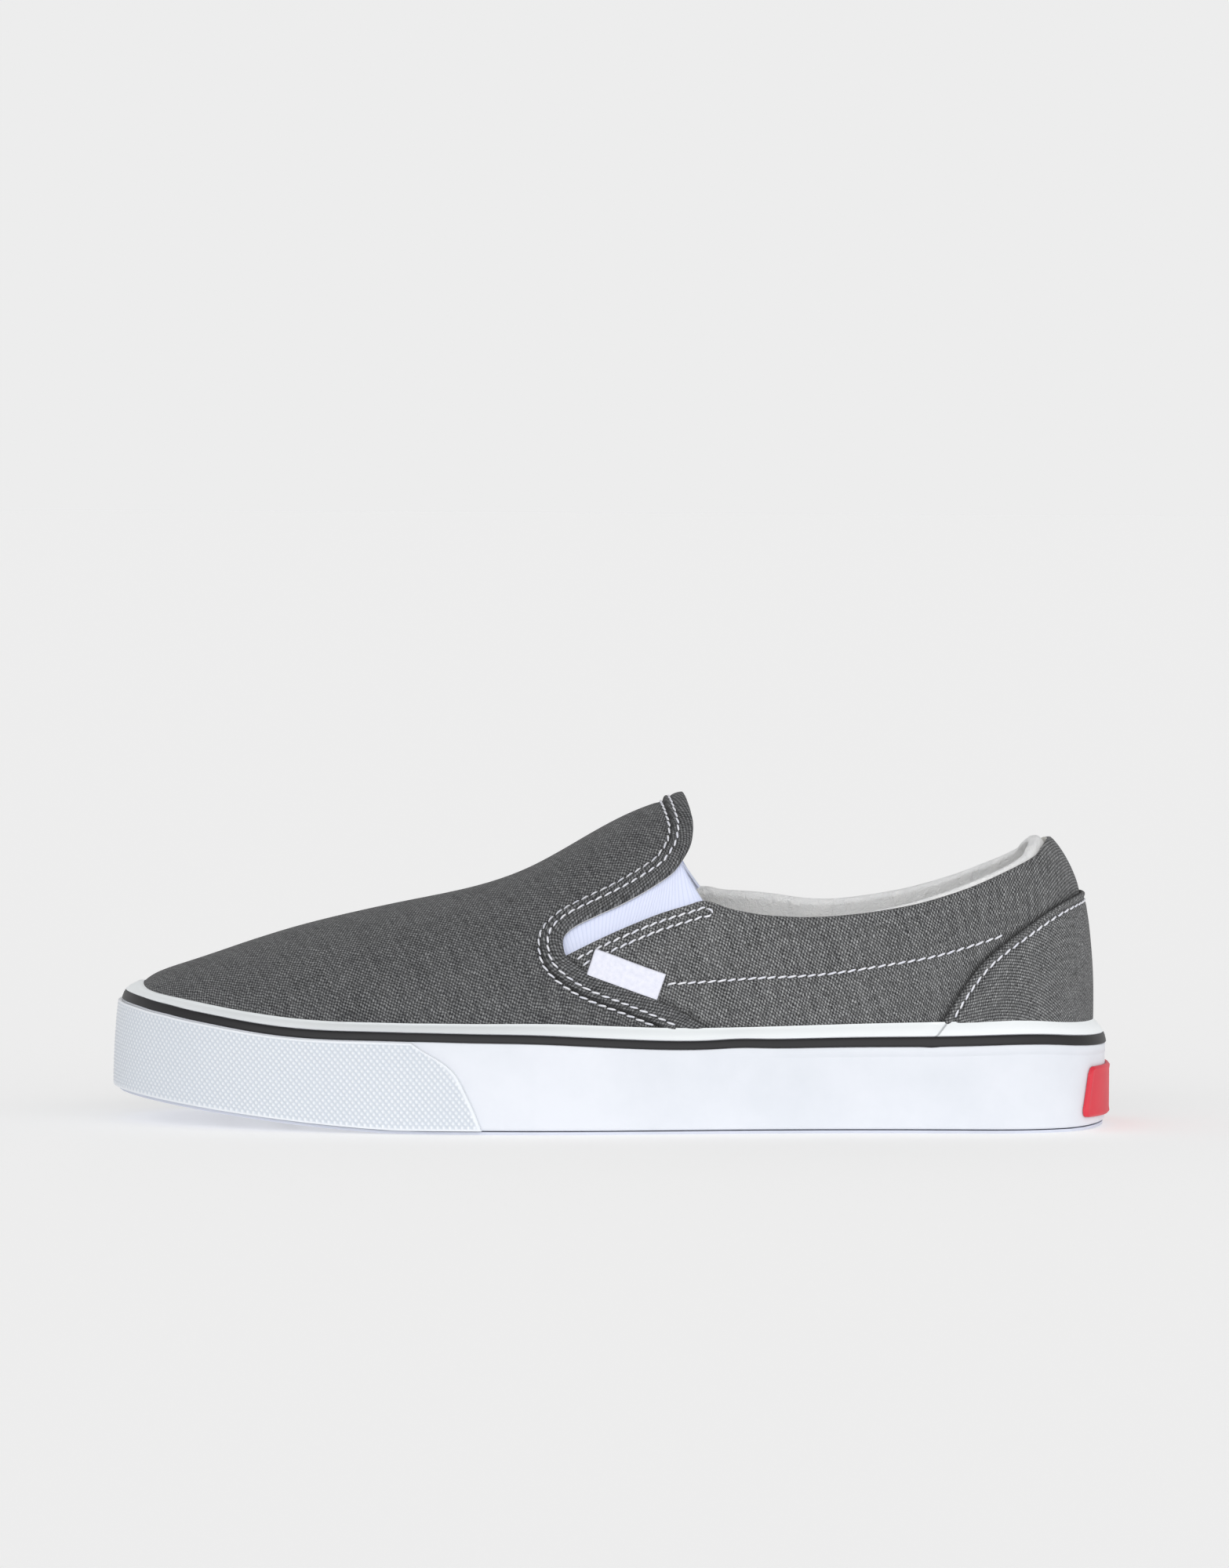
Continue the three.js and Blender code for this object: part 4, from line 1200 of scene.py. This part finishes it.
def make_quarters():
    s, g, l = quarter_places()
    points = form(s, g, l)
    rim = distance_to(points, points[:, -1])
    high, low = wall_out(rim, -CANVAS_THICKNESS, 0.0, 1.1)
    lines = [*quarter_loops.values(), *quarter_rows.values()]
    dent = trough(points, lines, 0.2, 1.0)
    lined = distance_to(points, *panel_edges.values())
    dent += 0.12 * hump(lined, 2.0)
    under = distance_to(points, form(*edge_places))
    # Painted shade beside the heel panel's edge, in the stitch troughs and under the vamp's edge.
    seam = np.maximum(0.95 * hump(lined, 1.0), trough(points, lines, 0.45, 0.7))
    seam = np.maximum(seam, 0.8 * hump(under, 1.0))
    heel = ease((points[..., 0] - 60) / 50)
    soft = (0.14 + 0.12 * heel) * crumple(points, 30, 5)
    soft *= ease((points[..., 2] - foxing_top(points[..., 0])) / 10) * ease(rim / 6)
    outer, inner = [form(s, g, l, out + soft - dent) for out in (high, low)]
    piece = shell_piece("quarters", outer, inner, pattern(s, g, l), [canvas, inner_cloth], seam)
    return add_piece(piece, "canvas", "upper")


def make_facing():
    """The bias strip along the vamp's rear edge, with a puffed fold between its rows of stitches."""
    across = 26
    t = np.linspace(0, 1, across)
    distances = FACING_WIDTH * (0.5 - 0.5 * np.cos(np.pi * t)) * 0.5 + FACING_WIDTH * t * 0.5
    station, level = slide(*edge_places, edge_toe, list(distances))
    side = np.broadcast_to(edge_places[1], station.shape)
    base = form(station, side, level)
    open_edge = ease((base[0, :, 2] - 51) / 5)
    low = mix(-0.35, -1.5, open_edge)[None] + np.zeros_like(station)
    d = distances[:, None]
    rim = np.minimum(d, (FACING_WIDTH - d) * 1.8)
    high = 0.8 + 0.3 * hump(d - 5.55, 0.6) - 0.42 * hump(d - INNER_ROW, 0.5) + 0.2 * hump(d - 2.1, 1.4)
    # Painted shade at the inner row of stitches and in the groove along the strip's outer edge.
    seam = 0.45 * hump(d - INNER_ROW, 0.5) + 0.9 * ease((d - FACING_WIDTH + 0.7) / 0.6)
    t = np.clip(rim / 0.9, 0, 1)
    reach = np.sqrt(1 - (1 - t) ** 2)
    middle = (high + low) / 2
    run = lengths_along(base[0])
    uv = joined(run[None, :], d)
    outer, inner = [form(station, side, level, middle + (out - middle) * reach) for out in (high, low)]
    piece = shell_piece("facing", outer, inner, uv, [strip_canvas, inner_cloth], seam)
    return add_piece(piece, "canvas_strip", "vamp_facing")


def make_heel_panel():
    columns, levels = 90, 40
    v = np.linspace(0, 1, levels)
    v = v * (2 - v)
    parts = []
    for side in (-1, 1):
        station, _, top = panel_edge(side, columns)
        s = np.broadcast_to(station[:, None], (columns, levels))
        parts.append((s, on_side(side, s), v * top[:, None]))
    s, g, l = [np.concatenate([a, b[::-1][1:]]) for a, b in zip(*parts)]
    points = form(s, g, l)
    rim = distance_to(points, *panel_edges.values())
    high, low = wall_out(rim, 0.05, 1.0, 0.8)
    sewn = trough(points, panel_rows.values(), 0.4, 0.7)
    fold = 0.35 * hump(rim - 1.0, 0.7)
    soft = 0.14 * crumple(points, 26, 9) * ease(rim / 5)
    outer = form(s, g, l, high + fold - sewn + soft)
    inner = form(s, g, l, low)
    # Painted shade in the stitch troughs and along the panel's folded edge.
    seam = np.maximum(sewn, 0.5 * (1 - ease(rim / 0.6)))
    piece = shell_piece("heel_panel_cloth", outer, inner, pattern(s, g, l), [panel_canvas], seam)
    return add_piece(piece, "canvas_panel", "heel_panel")


def make_lining():
    """Padded white lining, rolled over at the collar's edge."""
    x_front = to_x(LINING_START)
    front = math.acos(x_front / SOLE_HALF) / math.pi
    half = np.linspace(front, 0, 170)
    station = np.concatenate([half, half[::-1][1:]])
    side = np.concatenate([on_side(-1, half), on_side(1, half[1:])])
    top = collar_level(station, side)
    at = form(station, side, top)
    slope = np.linalg.norm(form(station, side, top - 1e-3) - at, axis=1) / 1e-3
    along = to_along(at[:, 0])
    outer_rise = mix(1.9, 0.35, ease((along - 0.12) / 0.2))
    inner_rise = mix(1.9, 1.5, ease((along - 0.3) / 0.1))
    rise = np.where(side < 0, outer_rise, inner_rise) + 0.9 * ease((0.1 - along) / 0.05)
    turn = np.linspace(0, np.pi, 12)
    down = np.linspace(0, 1, 22)[1:]
    back = -LINING_GAP - 2 * LINING_HALF * (1 - 0.55 * down**3)
    over = -LINING_GAP - LINING_HALF + np.cos(turn) * LINING_HALF
    out = np.concatenate([[-LINING_GAP, -LINING_GAP], over, back, [-LINING_GAP]])
    loops = []
    for i in range(len(station)):
        roll = rise[i] - LINING_HALF
        fall = roll - down * (LINING_DEPTH + roll)
        up = np.concatenate([[-4.0, -2.0], roll + np.sin(turn) * LINING_HALF, fall, [-LINING_DEPTH]])
        level = top[i] + up / slope[i]
        loops.append(form(on_side(station[i], level), on_side(side[i], level), level, out))
    loops = np.array(loops)
    across = lengths_along(loops[len(loops) // 2])
    uv = joined(lengths_along(at)[:, None], np.append(across, across[-1]))
    piece = loft_piece("collar_lining_roll", loops, [lining], uv)
    return add_piece(sharpen(piece, 60), "lining", "collar_lining")


def make_gore(side, name, node):
    """Elastic panel in the notch between vamp and quarter."""
    steps, across = 90, 26
    t = np.linspace(0, 1, steps)
    lap = 5.0
    floor_x = mix(to_x(0.5463) - 5, to_x(0.392), t)
    floor = joined(floor_x, collar_z(floor_x, side) - lap)
    heights = mix(52.0, 92.5, t)
    roof = joined(vamp_x(heights) - mix(3.0, lap, t), heights)
    rear_top = np.array([to_x(0.4315), 0.935 * 0.8796 * 95.5])
    roof = mix(roof, rear_top, ease((t - 0.75) / 0.25)[:, None])
    w = np.linspace(0, 1, across)[None, :, None]
    view = mix(floor[:, None], roof[:, None], w)
    x, z = view[..., 0], view[..., 1]
    station, level = locate(x, z, side)
    run = lengths_along(view[:, across // 2])
    uv = joined(run[:, None], w[..., 0] * 24)
    hem = 0.3 * hump(run[:, None] - run[-1] + 1.0, 0.6) - 0.2 * hump(run[:, None] - run[-1] + 2.0, 0.4)
    sag = 0.25 * np.sin(np.pi * w[..., 0]) - hem
    outer, inner = [form(station, side, level, -CANVAS_THICKNESS - deep - sag) for deep in (0.2, 1.4)]
    piece = shell_piece(name, outer, inner, uv, [elastic])
    return add_piece(piece, "elastic", node)


def foxing_loops(station, side):
    """Cross sections of the rubber side tape, from its inner foot out, up and back down, and which of
    their points belong to the band above the stripe."""
    x, _ = wall(station, side, 0)
    bottom, top = foxing_bottom(x), foxing_top(x)
    cloth = rib_at(station, side, top)
    tip = TIP_RISE * toe_share(cloth[:, 0]) * hump(cloth[:, 1] - TOE_TIP_OFFSET * BALL_WIDTH, 12)
    top = mix(top, foxing_top(cloth[:, 0]) + tip, toe_share(x))
    low, high = stripe_bottom(x), stripe_top(x)
    channel = 0.35

    def at(inset, z):
        return face(station, side, inset, z)

    seam = 0.16 * ease((0.42 - to_along(x)) / 0.2)  # depth of the step below the stripe, at the heel
    step = low - 2.7
    points = [at(FOXING_THICKNESS, bottom)]
    for angle in np.linspace(0, np.pi / 2, 5):
        inset, rise = FOOT_ROUND * (1 - math.sin(angle)), FOOT_ROUND * (1 - math.cos(angle))
        points.append(at(inset, bottom + rise))
    for share in np.linspace(0.12, 0.9, 7):
        z = mix(bottom, step, share)
        wave = 0.1 * crumple(at(0, z), 60, 12) * ease(share * 3) * ease((1 - share) * 3)
        points.append(at(seam * 0.6 - wave, z))
    for inset, z in (
        (seam, step - 0.25),
        (seam, step - 0.05),
        (0.0, step + 0.15),
        (0.0, low - 0.25),
        (0.12, low - 0.02),
        (channel, low + 0.04),
        (channel + STRIPE_LEAN, high - 0.04),
        (STRIPE_LEAN + 0.1, high + 0.02),
        (STRIPE_LEAN - 0.02, high + 0.22),
    ):
        points.append(at(inset, z))
    band_from = len(points) - 1
    start = at(STRIPE_LEAN, high + 0.3)
    rim = rib_at(station, side, top - 0.35, FIT + FOXING_RIM)
    outward = at(-1, 0)[..., :2] - at(0, 0)[..., :2]
    for share in (0.3, 0.55, 0.8, 1.0):
        p = mix(start, rim, share)
        joint = hump(x - mix(91.5, 96, share), 0.9)
        p[..., :2] += outward * (0.22 * math.sin(math.pi * share) - 0.45 * joint)[..., None]
        points.append(p)
    floor = deck(x) + FIT
    points.append(rib_at(station, side, top, FIT + 0.55))
    points.append(rib_at(station, side, top - 0.1, 0.1))
    points.append(rib_at(station, side, mix(floor, top, 0.8), FIT))
    points.append(rib_at(station, side, mix(floor, top, 0.5), FIT))
    points.append(at(FOXING_THICKNESS, floor))
    return np.stack(points, -2), [i >= band_from for i in range(len(points))]


def outline_runs(stations, inset):
    """Length of the outline up to each station, on both sides."""
    return {side: lengths_along(joined(*wall(stations, side, inset))) for side in (-1, 1)}


def around(count):
    """Stations and sides all round the shoe, evenly spaced over its outline."""
    fine = np.linspace(0, 1, 2001)
    runs = outline_runs(fine, 0)
    total = runs[-1][-1] + runs[1][-1]
    at = np.arange(count) * total / count
    outer = at <= runs[-1][-1]
    station = np.where(outer, np.interp(at, runs[-1], fine), np.interp(total - at, runs[1], fine))
    return station, np.where(outer, -1, 1)


def make_foxing():
    loops, band = foxing_loops(*around(RUBBER_COLUMNS))
    # The band's points carry the share that paints it lighter, as painted light.
    piece = loft_piece("foxing_tape", loops, [white_rubber], ring=True, seam=band)
    return add_piece(sharpen(piece, 50), "white_rubber", "foxing")


def make_stripe():
    station, side = around(RUBBER_COLUMNS)
    x, _ = wall(station, side, 0)
    low, high = stripe_bottom(x) + 0.1, stripe_top(x) - 0.1
    dip = 0.3 * hump(x - 92, 2.5)
    insets = (0.3, -0.12, -0.3, -0.32, -0.3, -0.2, 0.05, 0.35)
    loops = []
    for inset, share in zip(insets, (0.0, 0.0, 0.08, 0.35, 0.7, 0.92, 1.0, 1.0)):
        z = mix(low, high, share) - dip * (1 - share)
        loops.append(face(station, side, inset + STRIPE_LEAN * share, z))
    piece = loft_piece("side_stripe", np.stack(loops, -2), [black_rubber], ring=True)
    return add_piece(sharpen(piece, 50), "black_rubber", "foxing_stripe")


def make_bumper():
    """Toe bumper with rows of staggered dots, its rear ends cut along a curve."""
    fine = np.linspace(0.55, 1, 3001)
    runs = outline_runs(fine, -FIT - BUMPER_THICKNESS)
    levels = int(BUMPER_HEIGHT / KNURL["step"])
    columns = int((runs[-1][-1] + runs[1][-1]) / KNURL["step"])
    at = (np.arange(columns + 1) - columns // 2) * KNURL["step"]
    share = np.linspace(0, 1, levels + 1)
    side = np.where(at < 0, -1, 1)
    station = by_side(side, lambda sign: np.interp(runs[sign][-1] - np.abs(at), runs[sign], fine))
    end = np.arccos(to_x(bumper_end(share * 0.8)) / SOLE_HALF) / np.pi
    s = np.maximum(station[:, None], end[None, :])
    g = np.broadcast_to(side[:, None], s.shape)
    u = 2 * np.pi * at[:, None] / KNURL["along"]
    v = 2 * np.pi * share[None] * BUMPER_HEIGHT / KNURL["up"]
    dots = (0.5 + 0.5 * np.cos(u + v)) * (0.5 + 0.5 * np.cos(u - v))
    rim = np.minimum(share * (1 - share) * BUMPER_HEIGHT, (station[:, None] - end[None]) * 200)
    rim = np.clip(rim, 0, None)
    valley = (1 - dots) * ease(rim / 0.7)
    out = FIT + BUMPER_THICKNESS - 0.25 * (1 - ease(rim / 0.4)) - KNURL["depth"] * valley
    x, _ = wall(s, g, 0)
    z = mix(foxing_bottom(x), stripe_bottom(x) - FIT, share[None])
    uv = joined(at[:, None], share[None] * BUMPER_HEIGHT)
    outer, inner = face(s, g, -out, z), face(s, g, -FIT * 0.5, z)
    # Painted shade: grey in the valleys between the dots, half grey along the rim.
    seam = mix(0.45, valley, ease(rim / 0.5))
    piece = shell_piece("toe_bumper_dotted", outer, inner, uv, [textured_rubber], seam)
    return add_piece(sharpen(piece, 60), "textured_rubber", "toe_bumper")


def make_patch():
    """Plain red rubber patch at the back of the heel, with a low rim."""
    radius = HEEL_WIDTH / 2
    foot = foxing_bottom(SOLE_HALF) + PATCH_BASE
    t = np.linspace(-1, 1, 71)[:, None]
    w = np.linspace(0, 1, 25)[None]
    share = np.abs(t)
    cut = np.maximum(0, share * PATCH_WIDTH / 2 - (PATCH_WIDTH / 2 - PATCH_CORNER))
    trim = PATCH_CORNER - np.sqrt(np.maximum(0, PATCH_CORNER**2 - cut**2))
    up = mix(trim, PATCH_HEIGHT - trim, w)
    reach = share * (PATCH_WIDTH + PATCH_FLARE * (1 - 2 * up / PATCH_HEIGHT) / 2) / 2
    station = np.arccos(1 - radius / SOLE_HALF * (1 - np.cos(reach / radius))) / np.pi
    side = np.where(np.broadcast_to(t, station.shape) < 0, -1, 1)
    rim = np.minimum(np.minimum(up - trim, PATCH_HEIGHT - trim - up), PATCH_WIDTH / 2 * (1 - share))
    edge_drop = 0.5 * (1 - np.sqrt(1 - (1 - np.clip(rim / 0.5, 0, 1)) ** 2))
    lip = 0.16 * (1 - ease((rim - 1.0) / 0.5))
    out = FIT + PATCH_THICKNESS - 0.16 + lip - edge_drop

    uv = joined(t * PATCH_WIDTH / 2, up)
    outer, inner = [joined(*wall(station, side, -offset), foot + up) for offset in (out, FIT * 0.5)]
    piece = shell_piece("heel_patch_plain", outer, inner, uv, [red_rubber])
    return add_piece(sharpen(piece, 40), "red_rubber", "heel_patch")


def make_tab():
    """Bare ribbon flag sewn into the stitched joint below the notch."""
    run = np.array([math.cos(TAB_TILT), -math.sin(TAB_TILT)])
    rise = np.array([-run[1], run[0]])
    start = np.array([to_x(TAB_ALONG), TAB_UP * INSTEP_HEIGHT])
    u = np.linspace(0, TAB_LENGTH, 60)[:, None, None]
    w = np.linspace(-1.5, TAB_HEIGHT, 22)[None, :, None]
    view = start + u * run + w * rise
    station, level = locate(view[..., 0], view[..., 1], -1)
    u, w = u[..., 0], w[..., 0]
    rim = np.minimum(np.minimum(u, TAB_LENGTH - u), TAB_HEIGHT - w)
    lift = 0.45 + 0.5 * ease(w / TAB_HEIGHT) + 0.12 * np.sin(u / 3.1) * ease(w / TAB_HEIGHT)
    outer, inner = [form(station, -1, level, lift + out) for out in wall_out(rim, 0, TAB_THICKNESS, 0.3)]
    piece = shell_piece("side_flag", outer, inner, joined(u, w), [ribbon])
    return add_piece(piece, "ribbon", "side_tab")


def make_insole():
    """Foam insole under cloth, its rim a little cupped."""
    inset = CANVAS_INSET + CANVAS_THICKNESS + 2 * FIT
    t = (0.5 - 0.5 * np.cos(np.pi * np.linspace(0, 1, 141))) * 0.998 + 0.001
    station = np.arccos(1 - 2 * t) / np.pi
    x, y0 = wall(station, -1, inset)
    y1 = wall(station, 1, inset)[1]
    w = 0.5 - 0.5 * np.cos(np.pi * np.linspace(0, 1, 41))
    y = mix(y0[:, None], y1[:, None], w)
    gx = np.broadcast_to(x[:, None], y.shape)
    across = np.abs(2 * w[None] - 1)
    rim = np.maximum(across, np.abs(gx) / (SOLE_HALF - inset)) ** 6
    under = deck(gx) + FIT
    dish = 0.5 * hump(gx - 95, 30) * (1 - across**2) + 0.4 * hump(gx + 35, 40) * (1 - across**2)
    top = under + INSOLE_THICKNESS + INSOLE_CUP * rim - dish
    edge_round = np.sqrt(np.clip(1 - across**14, 0, 1))
    top = mix(under + 1.0, top, np.clip(edge_round, 0.3, 1))
    outer, inner = joined(gx, y, top), joined(gx, y, under)
    piece = shell_piece("insole_foam", outer, inner, joined(gx, y), [insole_cloth])
    add_piece(piece, "insole_fabric", "insole")
    return piece


def skin_tree(pieces):
    """A search tree over the outer cloth, for things that lie on it."""
    points, faces = [], []
    for piece in pieces:
        start = len(points)
        points += [v.co.copy() for v in piece.data.vertices]
        faces += [[start + i for i in p.vertices] for p in piece.data.polygons]
    return BVHTree.FromPolygons(points, faces)


def stitch_row(places, tree, pieces):
    """Adds the points and faces of a row of stitches along places on the form."""
    line, normals = form(*places), out_normals(*places)
    shown = line[:, 2] > foxing_top(line[:, 0]) + 0.3
    line, normals = line[shown], normals[shown]
    run = lengths_along(line)
    ring, steps = 6, np.linspace(0, 1, 7)
    for i in range(int(run[-1] / STITCH_PITCH)):
        start = i * STITCH_PITCH + rng.uniform(-0.08, 0.08)
        length = STITCH_LENGTH * rng.uniform(0.94, 1.05)
        spots, outs = [], []
        for t in steps:
            at = start + t * length
            p = Vector([np.interp(at, run, part) for part in line.T]) * MM
            n = Vector([np.interp(at, run, part) for part in normals.T]).normalized()
            hit = tree.ray_cast(p + n * 0.005, -n)[0]
            spots.append(np.array(hit or p) / MM)
            outs.append(np.array(n))
        tangent = spots[-1] - spots[0]
        tangent /= np.linalg.norm(tangent)
        for t, p, n in zip(steps, spots, outs):
            across = np.cross(n, tangent)
            swell = math.sin(math.pi * t) ** 0.5
            lift = THREAD_RADIUS * (1.4 * swell - 0.5)
            radius = THREAD_RADIUS * (0.65 + 0.35 * swell)
            middle = p + n * lift + across * STITCH_SLANT * (2 * t - 1)
            for a in np.arange(ring) * 2 * np.pi / ring:
                pieces["points"].append(middle + radius * (math.cos(a) * across * 1.15 + math.sin(a) * n))
                pieces["uv"].append((start + t * length, a * THREAD_RADIUS))
        last = len(pieces["points"]) - ring
        base = last - (len(steps) - 1) * ring
        for first in range(base, last, ring):
            for j in range(ring):
                a, b = first + j, first + (j + 1) % ring
                pieces["faces"].append((a, b, b + ring, a + ring))
        pieces["faces"].append(tuple(base + j for j in reversed(range(ring))))
        pieces["faces"].append(tuple(last + j for j in range(ring)))


def make_stitches(name, slot, rows_of_places, tree):
    pieces = dict(points=[], faces=[], uv=[])
    for places in rows_of_places:
        stitch_row(places, tree, pieces)
    piece = make_object(name, pieces["points"], pieces["faces"], [thread], pieces["uv"])
    return add_piece(piece, slot)


def dress_outsole():
    node = frame["nodes"]["outsole"]
    node.data.materials.clear()
    node.data.materials.append(sole_rubber)


make_camera()
make_stage()
vamp = make_vamp()
quarters = make_quarters()
facing = make_facing()
heel_panel = make_heel_panel()
make_lining()
make_gore(-1, "gore_outer", "gore_lateral")
make_gore(1, "gore_inner", "gore_medial")
make_foxing()
make_stripe()
make_bumper()
make_patch()
make_tab()
make_insole()
dress_outsole()
skin = skin_tree([vamp, quarters, facing, heel_panel])
make_stitches("vamp_stitches", "canvas", [inner_row, outer_row], skin)
make_stitches("quarter_stitches", "canvas", [*quarter_loops.values(), *quarter_rows.values()], skin)
make_stitches("heel_stitches", "canvas_panel", list(panel_rows.values()), skin)
